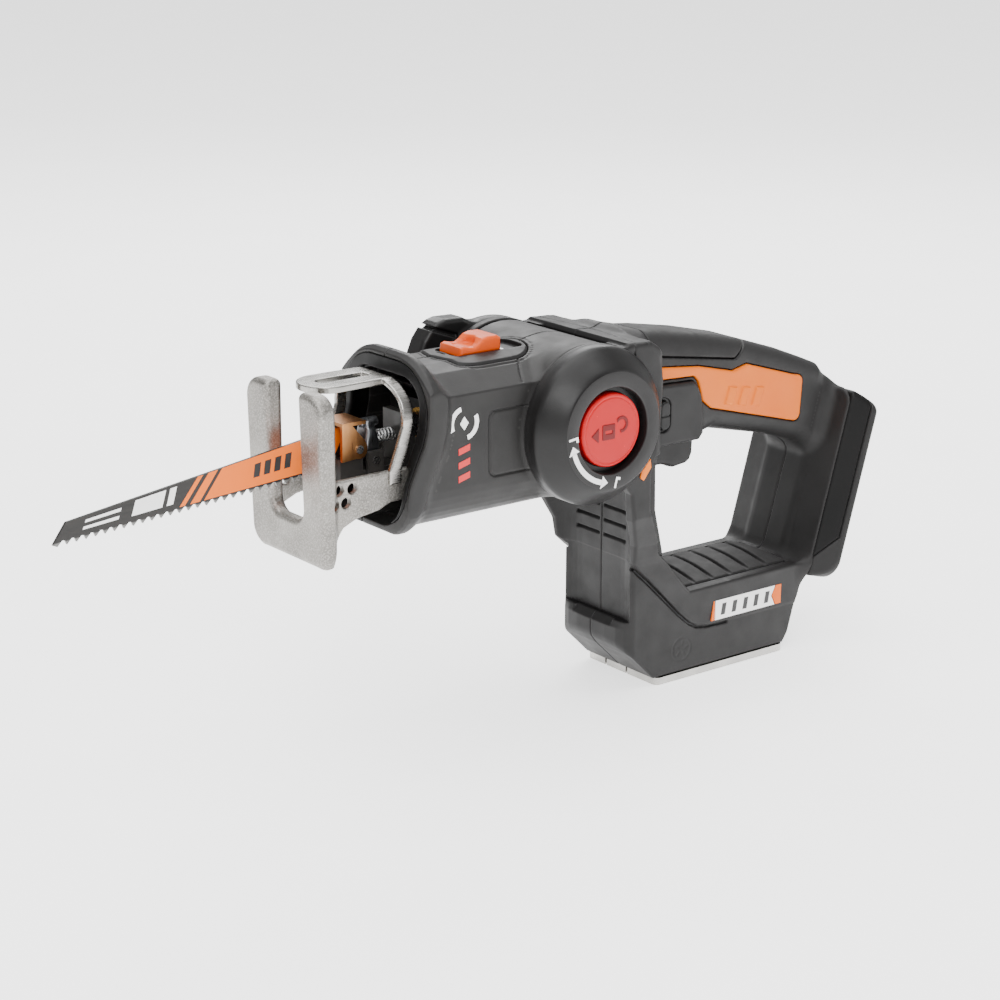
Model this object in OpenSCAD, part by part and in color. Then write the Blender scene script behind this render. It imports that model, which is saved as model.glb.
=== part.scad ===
// Convertible reciprocating saw: bare cordless tool with a head that swivels down to work as a jigsaw.
// Origin: centre of the base plate's underside. +X runs back to the battery, +Z up, blade along -X.

/* [Base plate] */
// Length of the flat steel base plate
base_l = 82; // [80:1:84]
// Width of the base plate
base_w = 50; // [48:1:52]
// Thickness of the base plate
base_t = 3.5; // [3:0.5:3.5]

/* [Head and hub] */
// Height of the head's swivel axis above the base plate's underside
pivot_z = 136; // [135:1:137]
// Distance of the swivel axis ahead of the base plate's centre
pivot_ahead = 90; // [90:1:91]
// Radius of the swivelling drum
drum_r = 35; // [34.5:0.5:35]
// Half of the width over both hub caps
hub_half = 49; // [48:1:50]
// Radius of the red lock button
button_r = 16.4; // [15:0.2:17]
// Travel of the red lock button
button_travel = 3; // [2:1:3]

/* [Drive] */
// Stroke of the blade
stroke = 16; // [12:1:16]
// Teeth on the motor pinion
pinion_teeth = 10; // [10:1:10]
// Teeth on the crank gear
gear_teeth = 53; // [53:1:53]

/* [Blade and shoe] */
// Tooth pitch of the blade
tooth_pitch = 4.233; // [4.1:0.01:4.4]
// Length of the blade ahead of its clamp
blade_reach = 131.5; // [120:0.5:132]
// Half of the width of the cast shoe
shoe_half = 28.5; // [28:0.5:29]
// Half of the width of the shoe's slot
slot_half = 11.5; // [11:0.5:12]

/* [Handle] */
// Half of the width of the grip
grip_half = 17; // [16.5:0.5:17.5]
// Half of the width of the lower housing and column
body_half = 24; // [23.5:0.5:24]
// Travel of the trigger
trigger_travel = 6; // [4:1:6]
// Backward lean of the battery face, in degrees
battery_lean = 16; // [15:1:16]

/* [Hidden] */
eps = 0.01;
far = 200;
px = -pivot_ahead;
pz = pivot_z;
face_x = px - pz;
wall = 2.6;
arm_in = 31.6;
arm_out = 36.2;
head_half = 31.2;
trunnion_r = 24;
bush_clear = 0.05;
bush_r = 26;
cap_r = 35.5;
cap_round = 9;
saddle_r = 36;
barrel_low = pz - 31.4;
barrel_top = pz + 32.7;
bezel_top = pz + 38.5;
bolt_r = 2.5;
bolt_orbit = 12;
motor_x = px + 7;
module_size = 1;
gear_gap = module_size * (pinion_teeth + gear_teeth) / 2;
gear_x = motor_x - gear_gap;
crank = stroke / 2;
gear_y0 = 11.5;
gear_y1 = 16.5;
plate_y0 = 18;
plate_y1 = 22;
rod_z = pz + 4;
rod_r = 5;
can_r = 17.5;
shaft_r = 2;
battery_foot = [64.5, 36.6];
seat_half = 17.2;
guard_z = 164;
clamp_pin_at = [-194.5, 136];
lever_pin_at = [-186, 130];
lock_off_at = [-35, 128.2];
housing_screw_at = [[-42, 50, 24], [-48, 24, 24], [43, 17, 24], [46, 141, 17], [2, 151, 17]];
head_screw_at = [[-140, 117], [-150, 152.5], [px + 20, pz + 20], [px + 20, pz - 20]];
base_screw_at = [[-30, -16], [-30, 16], [30, -16], [30, 16]];

// ---- helpers ----

function arc(c, r, a0, a1, n = 12) =
    [for (i = [0:n]) let (a = a0 + (a1 - a0) * i / n) [c.x + r * cos(a), c.y + r * sin(a)]];
function flip(points) = [for (i = [len(points) - 1:-1:0]) [-points[i].x, points[i].y]];

// Extrudes an outline drawn in X and Z from y0 to y1.
module along_y(y0, y1) translate([0, y1, 0]) rotate([90, 0, 0]) linear_extrude(y1 - y0) children();

// Extrudes an outline drawn in Y and Z from x0 to x1.
module along_x(x0, x1) translate([x0, 0, 0]) rotate([90, 0, 90]) linear_extrude(x1 - x0) children();

module y_rod(at, y0, y1, r, fn = 64)
    translate([at.x, y0, at.y]) rotate([-90, 0, 0]) cylinder(r = r, h = y1 - y0, $fn = fn);

module x_rod(x0, x1, y, z, r, fn = 64)
    translate([x0, y, z]) rotate([0, 90, 0]) cylinder(r = r, h = x1 - x0, $fn = fn);

module both_sides() {
    children();
    mirror([0, 1, 0]) children();
}

module left_half() intersection() {
    children();
    translate([-2 * far, -far, -far]) cube([4 * far, far, 3 * far]);
}

module right_half() intersection() {
    children();
    translate([-2 * far, 0, -far]) cube([4 * far, far, 3 * far]);
}

// Frame of the battery face: local z runs up the face, local x points out of it.
module at_battery() translate([battery_foot.x, 0, battery_foot.y]) rotate([0, battery_lean, 0]) children();

module round_rect(w, h, r) {
    square([w - 2 * r, h], center = true);
    square([w, h - 2 * r], center = true);
    for (sx = [-1, 1], sy = [-1, 1])
        translate([sx * (w / 2 - r), sy * (h / 2 - r)]) circle(r, $fn = 48);
}

// A coil spring round the Y axis as one swept wire.
module coil(r, wire, length, turns) {
    sides = 6;
    steps = 14 * turns;
    rings = [for (i = [0:steps], k = [0:sides - 1])
        let (a = 360 * turns * i / steps, b = 360 * k / sides, q = r + wire * cos(b))
        [q * cos(a), length * i / steps + wire * sin(b), q * sin(a)]];
    side_faces = [for (i = [0:steps - 1], k = [0:sides - 1])
        let (n = (k + 1) % sides)
        [i * sides + k, (i + 1) * sides + k, (i + 1) * sides + n, i * sides + n]];
    ends = [[for (k = [0:sides - 1]) k], [for (k = [sides - 1:-1:0]) steps * sides + k]];
    polyhedron(rings, concat(side_faces, ends));
}

// ---- handle side ----

// Column and lower housing, seen from the side.
module core_outline() polygon([[-42.5, base_t], [41, base_t], [46, 11], [51, 25], [61, 33], [60, 43.5],
    [-36, 43.5], [-38.3, 66], [-43, 86], [-43.5, 112], [-55.5, 118], [-55.5, 34.8], [-60.5, 31],
    [-60.5, 25], [-55.5, 18]]);

// Collar that wraps the back of the drum and carries both arms.
module collar_outline() polygon(concat(
    arc([px, pz], saddle_r, 59, -20),
    [[-55.5, 100], [-55.5, 60], [-46, 57], [-41, 60], [-43, 86], [-43.5, 112], [-42, 125],
    [-42, 152], [-47, 165], [-57, 168.3], [-70, 168.3]]));

// Arm beside the drum, below and behind the hub cap.
module arm_outline() {
    translate([px, pz]) circle(cap_r, $fn = 128);
    polygon([[-72, 108], [-67.5, 100], [-67.5, 86], [-59, 72], [-47, 58], [-41, 60], [-43, 86],
        [-43.5, 112], [-42, 125], [-42, 152], [-47, 165], [-57, 168.3], [-75, 168], [-90, 150]]);
}

module grip_outline() polygon([[-50, 112.5], [-9, 112.5], [0, 115], [36, 106.5], [54, 100.5],
    [62, 96], [78, 96], [84, 120], [70, 133.5], [60, 140], [43, 147.6], [16.5, 156],
    [-8.8, 161.8], [-33.4, 166], [-50, 167.6]]);

module stem_outline() polygon([[44, 44], [47.5, 44], [48, 56], [56.5, 67], [63.5, 86], [62, 97],
    [84, 100], [66, 34], [56, 34]]);

module battery_outline(front, back) polygon([[front, -4 - front / 8], [back, -2], [back, 81],
    [back - 3, 86], [back - 8, 89.5], [front, 89.5 - (front + 8) * 0.42]]);

module shell_solid() {
    along_y(-17, 17) core_outline();
    along_y(-body_half, body_half) difference() {
        core_outline();
        translate([-70, 0]) square([14.5, 50]);
    }
    along_y(-arm_out, arm_out) collar_outline();
    both_sides() along_y(arm_in, arm_out) arm_outline();
    along_y(-26, 26) polygon([[-46, 113], [-38, 118], [-37, 160], [-46, 166]]);
    along_y(-grip_half, grip_half) grip_outline();
    along_y(-15, 15) stem_outline();
    at_battery() intersection() {
        along_y(-31, 31) battery_outline(-24, -12);
        translate([0, 0, 46]) rotate([0, 90, 0]) translate([0, 0, -50]) linear_extrude(60) round_rect(100, 62, 12);
    }
}

module shell_hollow() {
    along_y(-body_half + wall, body_half - wall) offset(delta = -wall) difference() {
        core_outline();
        translate([-70, 0]) square([14.5, 50]);
    }
    along_y(-26, 26) offset(delta = -wall) polygon([[-55.5, 100], [-55.5, 66], [-44, 66], [-43.5, 112],
        [-42, 150], [-50, 160], [-53, 118]]);
    along_y(-grip_half + wall, grip_half - wall) offset(delta = -wall) grip_outline();
    along_y(-15 + wall, 15 - wall) offset(delta = -wall) stem_outline();
    at_battery() both_sides() translate([-21.5, 15.5, 8]) cube([9, 12.5, 74]);
    at_battery() translate([-12, -12, 44]) cube([8, 24, 16]);
}

module trigger_window() translate([-41, -9, 105]) cube([35.9, 18, 14]);

module lock_off_profile(gap) translate(lock_off_at) {
    square([5.8 + 2 * gap, 7.4], center = true);
    for (s = [-1, 1]) translate([0, s * 3.7]) circle(2.9 + gap, $fn = 40);
}

module cheek_outline() polygon([[-37, 113], [-9.5, 113], [-9.5, 124], [-11, 134], [-13.5, 140], [-37, 141.5]]);

module insert_outline() polygon([[-36, 150.5], [-12, 147.7], [10, 142.2], [18, 144.8], [50, 134.4],
    [54.5, 131], [55, 126], [53.4, 115], [49, 112.5], [-5, 127], [-9.5, 131], [-12.6, 142.5], [-36, 144]]);

module top_pad_outline() polygon([[-38, 164.5], [34, 149], [38, 151], [33, 152.2], [16.5, 156.5],
    [-8.8, 162.3], [-33.4, 166.5], [-38, 167]]);

module lower_pad_block() translate([-27, -20, 42]) cube([72, 40, 3]);

module shells() difference() {
    union() {
        difference() {
            shell_solid();
            shell_hollow();
            at_battery() {
                translate([-6, -60, -20]) cube([60, 120, 140]);
                both_sides() translate([-12, seat_half, -20]) cube([60, 60, 140]);
            }
        }
        for (s = housing_screw_at) y_rod(s, -s[2] + 1, s[2] - 1, 4.2, 48);
    }
    for (s = housing_screw_at) {
        y_rod(s, -s[2] + 5, s[2] + 1, 1.5, 48);
        y_rod(s, s[2] - 2.2, s[2] + 1, 3.3, 48);
    }
    y_rod([px, pz], -far, far, bush_r, 128);
    trigger_window();
    along_y(-far, far) lock_off_profile(0.3);
    both_sides() {
        along_y(grip_half - 1.5, grip_half + 5) cheek_outline();
        along_y(grip_half - 1.5, grip_half + 5) insert_outline();
    }
    along_y(-12, 12) top_pad_outline();
    lower_pad_block();
    for (s = base_screw_at) translate([s.x, s.y, 0]) cylinder(r = 1.75, h = 14, $fn = 48);
}

module handle_shell_left() color("#4a4846") left_half() shells();

module handle_shell_right() color("#4a4846") right_half() shells();

// Hub cap on the left; centre left open for the lock button.
module cap_ring(bore) rotate_extrude($fn = 128) polygon(concat(
    [[cap_r, arm_out], [cap_r, hub_half - cap_round]],
    arc([cap_r - cap_round, hub_half - cap_round], cap_round, 8, 90, 8),
    [[bore, hub_half], [bore, 38.6], [22, 38.6], [22, hub_half - 3]],
    arc([cap_r - cap_round, hub_half - cap_round], cap_round - 3, 90, 0, 8),
    [[cap_r - 3, arm_out]]));

module hub_cap_left() color("#3f3e3c") translate([px, 0, pz]) rotate([90, 0, 0]) cap_ring(19.3);

// Raised housing ahead of the right cap, over the side of the barrel.
module cap_shoulder() along_y(36.2, 48) polygon([[-131.5, 146], [-131.5, 158], [-128.5, 165], [-124.3, 170.4],
    [-116.8, 173.6], [-106.7, 173.3], [-96, 168], [-98, 160], [-112, 146], [-118, 138]]);

module hub_cap_right() color("#3f3e3c") {
    translate([px, 0, pz]) rotate([-90, 0, 0]) {
        cap_ring(19.3);
        translate([0, 0, 44]) cylinder(r = 20, h = 3.5, $fn = 96);
    }
    difference() {
        cap_shoulder();
        y_rod([px, pz], 30, 50, trunnion_r + 1, 96);
    }
}

module pivot_bushes() color("#b08a4a") both_sides() difference() {
    y_rod([px, pz], arm_in, arm_out, bush_r, 128);
    y_rod([px, pz], arm_in - 1, arm_out + 1, trunnion_r + bush_clear, 128);
}

module lock_button() color("#f0524d") difference() {
    union() {
        y_rod([px, pz], -48.2, -39, button_r, 96);
        for (s = [-1, 1]) y_rod([px + s * bolt_orbit, pz], -40, -31.5, bolt_r, 48);
    }
    difference() {
        y_rod([px, pz], -45, -38, button_r - 2, 96);
        for (s = [-1, 1]) y_rod([px + s * bolt_orbit, pz], -46, -31.5, bolt_r, 48);
    }
}

module lock_spring() color("#9a9a9a") translate([px, -44.4, pz]) coil(7, 0.6, 12.4, 4);

module side_insert() along_y(grip_half - 1.5, grip_half + 0.8) insert_outline();

module side_insert_left() color("#f58a1f") mirror([0, 1, 0]) side_insert();

module side_insert_right() color("#f58a1f") side_insert();

module grip_pad_top() color("#4c4b49") along_y(-12, 12) top_pad_outline();

module grip_pad_lower() color("#55534f") difference() {
    lower_pad_block();
    for (i = [0:5]) translate([-21 + i * 11.5, 0, 45]) rotate([0, 0, 12])
        translate([-0.8, -30, -1.2]) cube([1.6, 60, 3]);
}

module hub_accents() color("#f5a030") both_sides() along_y(arm_out, arm_out + 0.6)
    polygon([[-56, 116], [-56, 110], [-61, 105], [-62.5, 107.5]]);

module switch_cheek() difference() {
    along_y(grip_half - 1.5, grip_half + 2.5) cheek_outline();
    along_y(-far, far) lock_off_profile(0.3);
}

module switch_cheek_left() color("#3c3a38") mirror([0, 1, 0]) switch_cheek();

module switch_cheek_right() color("#3c3a38") switch_cheek();

module trigger() color("#46454a") along_y(-8.4, 8.4) polygon(concat(
    [[-40.3, 112], [-39.6, 99.5], [-37, 98.6]],
    arc([-27, 88], 12.5, 118, 62, 6),
    [[-18, 98], [-9.5, 99.2], [-6, 103.5], [-5.6, 112]]));

module trigger_switch() color("#202020") {
    translate([-27.5, -9, 119.5]) cube([24, 18, 22]);
    for (y = [-5, 5]) translate([-4, y - 1.5, 128]) cube([6, 3, 1]);
}

module lock_off_button() color("#2a2927") along_y(-21, 21) lock_off_profile(0);

module battery_flange() color("#232221") at_battery() difference() {
    intersection() {
        along_y(-37, 37) battery_outline(-12, 0);
        translate([-20, 0, 43]) rotate([90, 0, 90]) linear_extrude(30) round_rect(74, 94, 9);
    }
    translate([-13, -seat_half, -10]) cube([7, 2 * seat_half, 120]);
    translate([-4, -26, 8]) cube([10, 52, 74]);
    translate([-13, -12, 44]) cube([12, 24, 16]);
}

module battery_rail() color("#303030") at_battery() difference() {
    union() {
        translate([-4, -18, 12]) cube([8, 36, 66]);
        translate([4, -23, 12]) cube([3, 46, 66]);
    }
    translate([-1, -11, 22]) cube([9, 22, 57]);
    translate([-8, -11, 46]) cube([8, 22, 12]);
}

module terminal_block() color("#4b2b20") at_battery() difference() {
    translate([-10, -10.8, 46.2]) cube([11, 21.6, 11.6]);
    for (y = [-7.5, -2.5, 2.5, 7.5]) translate([-11, y - 0.45, 48]) cube([13, 0.9, 8]);
}

module terminal_blades() color("#d9c46a") at_battery() for (y = [-7.5, -2.5, 2.5, 7.5])
    translate([-10, y - 0.4, 48.1]) cube([11, 0.8, 7.8]);

module controller_board() color("#1f6b3a") {
    translate([-28, -17, 13]) cube([56, 34, 1.6]);
    for (x = [-18, -2, 14]) translate([x, -8, 14.6]) cube([8, 16, 6]);
    for (x = [-20, 18], y = [-12, 12]) translate([x, y, 14.6]) cylinder(r = 2.5, h = 7, $fn = 32);
}

// A lead as straight runs with ball corners.
module lead(points, r) for (i = [0:len(points) - 2]) {
    d = points[i + 1] - points[i];
    translate(points[i]) rotate([0, acos(d.z / norm(d)), atan2(d.y, d.x)]) cylinder(r = r, h = norm(d), $fn = 24);
    translate(points[i + 1]) sphere(r + 0.2, $fn = 24);
}

module battery_leads() color("#c33") both_sides() {
    lead([[67.6, 5, 80.5], [58, 5, 58], [55, 5, 42], [40, 5, 30], [30, 5, 17]], 1.4);
    lead([[-30, 5, 16], [-38, 5, 28], [-47, 5, 38], [-49, 5, 50], [-49, 5, 80]], 1.4);
}

module base_plate() color("#c9c9c6") difference() {
    linear_extrude(base_t) round_rect(base_l, base_w, 3);
    for (s = base_screw_at) translate([s.x, s.y, 0]) {
        translate([0, 0, -1]) cylinder(r = 2, h = base_t + 2, $fn = 48);
        translate([0, 0, -eps]) cylinder(r1 = 4.1, r2 = 2, h = 2.1, $fn = 48);
    }
    for (y = [-4, 11]) translate([-base_l / 2 - 1, y - 0.6, -1]) cube([3, 1.2, base_t + 2]);
}

module base_screws() color("#8d8d8d") for (s = base_screw_at) translate([s.x, s.y, 0]) {
    translate([0, 0, 0.2]) cylinder(r1 = 3.8, r2 = 1.8, h = 2, $fn = 48);
    translate([0, 0, 1]) cylinder(r = 1.7, h = 11, $fn = 48);
}

module housing_screws() color("#8d8d8d") for (s = housing_screw_at) {
    y_rod(s, -s[2] + 6, s[2] - 1, 1.4, 48);
    difference() {
        y_rod(s, s[2] - 2.1, s[2] - 0.3, 3.1, 48);
        y_rod(s, s[2] - 1.4, s[2] + 1, 1.4, 6);
    }
}

module side_badges() color("#f2f0ec") both_sides() along_y(body_half, body_half + 0.5)
    polygon([[-7.7, 25], [34, 25], [37.3, 30], [34, 35], [-7.7, 35]]);

// ---- swivelling head ----

function barrel_right() = concat([[0, barrel_low]],
    arc([14, barrel_low + 17.2], 17.2, -90, 0, 8),
    [[31, pz + 21], [18.5, barrel_top - 2.7], [10, barrel_top - 0.5]], [[0, barrel_top]]);
function hollow_right() = concat([[0, barrel_low + 2.8]],
    arc([13, barrel_low + 18], 15.2, -90, 0, 8),
    [[28.2, pz + 19], [16.5, barrel_top - 4.8], [9, barrel_top - 3.9]], [[0, barrel_top - 3.9]]);
function bezel_right() = concat([[0, barrel_low]],
    arc([14, barrel_low + 19.5], 19.5, -90, 0, 10),
    arc([9.5, bezel_top - 24], 24, 0, 90, 12), [[0, bezel_top]]);
function mouth_right() = concat([[0, barrel_low + 3]],
    arc([13, barrel_low + 17.5], 14.5, -90, 0, 10),
    arc([8.5, pz + 15.5], 19, 0, 90, 12), [[0, pz + 34.5]]);
module whole(right_side) polygon(concat(right_side, flip(right_side)));

// Region ahead of the mouth's front face, which leans out towards the bottom.
module mouth_front() polygon([[-260, 90], [-189, 90], [-188.2, 108], [-187, 122.5], [-182, 132.5], [-177.8, 140.5],
    [-176, 149], [-176, 190], [-260, 190]]);

// Region ahead of the slanted joint between barrel and bezel.
module bezel_zone() along_y(-60, 60) polygon([[-260, 60], [-191.6, 62], [-167, 178.7], [-165, 190], [-260, 190]]);

module panel_outline() polygon(concat([[-152, 0]], arc([-138, 0], 17, -125, -90, 4),
    arc([-121, 0], 17, -90, 90, 14), arc([-138, 0], 17, 90, 125, 4)));

module head_solid() {
    difference() {
        along_x(-195, px) whole(barrel_right());
        bezel_zone();
    }
    y_rod([px, pz], -31, 31, drum_r, 128);
    both_sides() y_rod([px, pz], 30, 38.3, trunnion_r, 128);
}

module head_hollow() {
    along_x(-200, px) whole(hollow_right());
    y_rod([px, pz], -28.4, 28.4, drum_r - wall, 128);
    both_sides() y_rod([px, pz], 31.3, 40, trunnion_r - 3.6, 96);
}

module head_shells() difference() {
    union() {
        difference() {
            head_solid();
            head_hollow();
        }
        for (s = head_screw_at) {
            y_rod(s, -28.6, -23, 3.6, 48);
            y_rod(s, 23, 28.6, 3.6, 48);
        }
    }
    for (s = head_screw_at) {
        y_rod(s, -26, 33, 1.5, 48);
        y_rod(s, 29.4, 33, 3.1, 48);
    }
    for (a = [0:90:270]) y_rod([px + bolt_orbit * cos(a), pz + bolt_orbit * sin(a)], -34, -28, bolt_r + 0.5, 48);
    translate([0, 0, barrel_top - 2.4]) linear_extrude(6) panel_outline();
    translate([-134.5, -3, 155]) cube([15, 6, 20]);
    both_sides() along_y(30.4, 35) translate([-134, pz - 0.5]) round_rect(20, 26, 2);
    y_rod([px, pz], 28, 40, 9, 64);
}

module head_shell_left() color("#53504e") left_half() head_shells();

module head_shell_right() color("#53504e") right_half() head_shells();

module bezel() color("#1b1a19") difference() {
    intersection() {
        along_x(-190.5, -160) whole(bezel_right());
        bezel_zone();
    }
    along_x(-200, -150) whole(mouth_right());
    along_y(-60, 60) mouth_front();
}

module top_panel() color("#5a5856") difference() {
    translate([0, 0, barrel_top - 2.4]) linear_extrude(3.2) panel_outline();
    translate([-134.5, -3, 155]) cube([15, 6, 20]);
}

module selector_slide() color("#ff7a2a") {
    along_y(-8.3, 8.3) translate([-142, barrel_top + 1.1]) polygon([[0, 0], [22.5, 0], [22.5, 4.4], [21, 5.6], [12, 5.6],
        [8.5, 2.6], [6, 2.2], [1.5, 2.2], [0, 1]]);
    translate([-134, -2.5, barrel_top - 6]) cube([7, 5, 8]);
}

module head_screws() color("#8d8d8d") for (s = head_screw_at) {
    y_rod(s, -25, 30, 1.4, 48);
    difference() {
        y_rod(s, 29.5, 30.9, 2.9, 48);
        y_rod(s, 30.2, 32, 1.3, 6);
    }
}

// ---- motor and drive ----

module gearcase() color("#b9bcc0") difference() {
    union() {
        along_y(plate_y0, plate_y1) {
            translate([-157.5, 126]) square([24.5, 24]);
            translate([-134, 126]) square([56, 20]);
            translate([gear_x, pz]) circle(12, $fn = 64);
            translate([-84, pz - 19]) square([10, 38]);
        }
        translate([-158, -21.4, 116]) cube([10, 42.8, 34.4]);
        translate([-149, -9, 131]) cube([15, 17, 18]);
        y_rod([motor_x, pz], 8.6, 10.4, can_r, 96);
        for (s = [-1, 1]) y_rod([motor_x + 3, pz + s * 14.5], 8.6, plate_y0 + 1, 3, 48);
    }
    y_rod([motor_x, pz], 8, 30, 7.2, 64);
    y_rod([gear_x, pz], plate_y0 - 1, plate_y1 + 1, 8, 64);
    x_rod(-160, -130, 0, rod_z, 7, 64);
    both_sides() y_rod([-153, 122], 12, 25, 1.75, 48);
    translate([-159, -7, 110]) cube([12, 14, 14]);
    both_sides() translate([-160, 21.4, 110]) cube([13, 2, 22]);
}

module motor_can() color("#8f9194") difference() {
    y_rod([motor_x, pz], -25.8, 8.6, can_r, 96);
    y_rod([motor_x, pz], -26, 6, can_r - 1.2, 96);
    y_rod([motor_x, pz], 5, 9, 5, 64);
}

module motor_magnets() color("#3a3a3c") difference() {
    y_rod([motor_x, pz], -14, 5, can_r - 1.2, 96);
    y_rod([motor_x, pz], -15, 6, 12.6, 96);
    translate([motor_x - 20, -16, pz - 3]) cube([40, 24, 6]);
}

module motor_endcap() color("#2e2e30") difference() {
    y_rod([motor_x, pz], -28.2, -25.8, can_r, 96);
    y_rod([motor_x, pz], -30, -25, 5, 64);
}

module motor_bearings() color("#c2c4c7") for (y = [-28, 6]) difference() {
    y_rod([motor_x, pz], y, y + 2.4, 5, 64);
    y_rod([motor_x, pz], y - 1, y + 4, shaft_r + 0.03, 64);
}

module armature() color("#a0703a") {
    y_rod([motor_x, pz], -28, 17.2, shaft_r, 64);
    difference() {
        y_rod([motor_x, pz], -13, 4, 12, 96);
        for (i = [0:4]) translate([motor_x, 0, pz]) rotate([0, i * 72, 0])
            translate([9, -14, -1.2]) cube([4, 19, 2.4]);
    }
    y_rod([motor_x, pz], -24.5, -20.5, 5, 48);
    y_rod([motor_x, pz], -19.6, -18.6, 5, 48);
    for (i = [0:8]) translate([motor_x, 0, pz]) rotate([0, i * 40, 0])
        translate([1, -19.6, -0.5]) cube([14.5, 4.6, 1]);
}

// Involute tooth outline; addendum and root are in modules.
function involute(rb, t) = [rb * (cos(t) + t * PI / 180 * sin(t)), rb * (sin(t) - t * PI / 180 * cos(t))];
function turned(p, a) = [p.x * cos(a) - p.y * sin(a), p.x * sin(a) + p.y * cos(a)];
function unwind(rb, r) = r <= rb ? 0 : sqrt(r * r / rb / rb - 1) * 180 / PI;
function half_tooth(z, rp, rb, play) =
    let (t = unwind(rb, rp), p = involute(rb, t)) 90 / z - play / rp * 90 / PI + atan2(p.y, p.x);
function gear_points(z, tip, root, play) =
    let (rp = module_size * z / 2, rb = rp * cos(20), ro = rp + tip, rr = rp - root,
        start = max(rb, rr), h = half_tooth(z, rp, rb, play),
        radii = [for (k = [0:3]) start + (ro - start) * k / 3])
    [for (i = [0:z - 1]) let (base = 360 * i / z) each concat(
        [turned([rr, 0], base - h)],
        [for (r = radii) turned(involute(rb, unwind(rb, r)), base - h)],
        [for (k = [3:-1:0]) let (p = involute(rb, unwind(rb, radii[k]))) turned([p.x, -p.y], base + h)],
        [turned([rr, 0], base + h)])];

module pinion() color("#77797c") difference() {
    along_y(11, 17) translate([motor_x, pz]) polygon(gear_points(pinion_teeth, 1, 1.05, 0.2));
    y_rod([motor_x, pz], 10, 18, shaft_r, 64);
}

module crank_gear() color("#6e7074") {
    along_y(gear_y0, gear_y1) translate([gear_x, pz]) difference() {
        rotate(180 / gear_teeth) polygon(gear_points(gear_teeth, 0.7, 1.25, 0.2));
        for (a = [30:60:330]) rotate(a) translate([16, 0]) circle(4, $fn = 40);
    }
    y_rod([gear_x, pz], gear_y1, plate_y1 + 1, 4, 64);
    y_rod([gear_x, pz + crank], 9.4, gear_y0, 2.5, 48);
}

module gear_bearing() color("#c2c4c7") difference() {
    y_rod([gear_x, pz], plate_y0, plate_y1, 8, 64);
    y_rod([gear_x, pz], plate_y0 - 1, plate_y1 + 1, 4.04, 64);
}

module plunger() color("#9b9da0") {
    x_rod(-168, -118, 0, rod_z, rod_r, 64);
    difference() {
        union() {
            translate([gear_x - 4.6, 3, pz - 14]) cube([9.2, 6, 28]);
            translate([gear_x - 8, -4, rod_z - 6]) cube([8, 13, 12]);
        }
        translate([gear_x - 2.6, 0, pz - 11]) cube([5.2, 12, 22]);
    }
}

module plunger_bushes() color("#b08a4a") for (x = [[-158, 10], [-142, 8]]) difference() {
    x_rod(x[0], x[0] + x[1], 0, rod_z, 7, 64);
    x_rod(x[0] - 1, x[0] + x[1] + 1, 0, rod_z, rod_r + 0.05, 64);
}

// ---- blade clamp and blade ----

module clamp_body() color("#2b2927") difference() {
    union() {
        translate([-203, -6, 122]) cube([35, 12, 4]);
        translate([-203, -6, 126]) cube([11.5, 12, 6]);
        translate([-172, -7, 122]) cube([4, 14, 26]);
        for (s = [-1, 1]) translate([lever_pin_at.x - 4, s * 6.85 - 0.95, 124]) cube([8, 1.9, 10]);
    }
    translate([-204, -0.75, 124]) cube([13.5, 1.5, 12]);
    y_rod(lever_pin_at, -9, 9, 1.6, 48);
}

module clamp_bracket() color("#a5764a") difference() {
    union() {
        both_sides() along_y(6.1, 7.7) {
            polygon([[-203, 131.5], [-203, 148], [-199, 148], [-191.5, 139.5], [-191.5, 132.5]]);
            translate(clamp_pin_at) circle(4.2, $fn = 48);
        }
        translate([-203, -7.7, 146.6]) cube([12, 15.4, 1.5]);
    }
    y_rod(clamp_pin_at, -9, 9, 1.8, 48);
}

module clamp_pins() color("#c8c8c8") {
    y_rod(clamp_pin_at, -8.6, 8.6, 1.8, 48);
    y_rod(lever_pin_at, -8.2, 8.2, 1.6, 48);
}

module clamp_lever() color("#7d8087") difference() {
    union() {
        y_rod(lever_pin_at, -5.6, 5.6, 3.5, 48);
        along_y(-5.6, 5.6) polygon([[-189.2, 131], [-190, 145.6], [-181.5, 147.6], [-181, 131]]);
    }
    y_rod(lever_pin_at, -9, 9, 1.66, 48);
}

module clamp_stud() color("#b5b5b5") x_rod(-176.5, -172, 0, 138, 1.7, 40);

module clamp_spring() color("#9a9a9a") translate([-180.6, 0, 138]) rotate([0, 0, -90]) coil(2.6, 0.35, 8.2, 5);

tip_x = -203 - blade_reach;
edge_rise = 0.07;
back_rise = 0.14;
tooth_deep = 2.2;
function edge_z(x) = 117.7 + edge_rise * (x + 332.3);
function back_z(x) = 127 + back_rise * (x + 328.4);
tooth_count = floor((-206 - tip_x - 2) / tooth_pitch);
module blade() color("#1d1c1b") along_y(-0.6, 0.6) difference() {
    polygon(concat(
    [[-190.7, 133.5], [-190.7, 143.5], [-203, 144]],
    [[-206, back_z(-206)], [tip_x + 6.1, back_z(-328.4)], [tip_x, edge_z(tip_x) + 1]],
    [for (i = [0:tooth_count - 1]) let (x = tip_x + 2 + i * tooth_pitch) each [
        [x, edge_z(x)], [x + 0.5 * tooth_pitch, edge_z(x) + tooth_deep],
        [x + 0.8 * tooth_pitch, edge_z(x) + tooth_deep]]],
    [[-204, edge_z(-204)], [-203, 133.5]]));
    translate(clamp_pin_at) circle(1.86, $fn = 48);
}

// ---- shoe and guard ----

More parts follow.
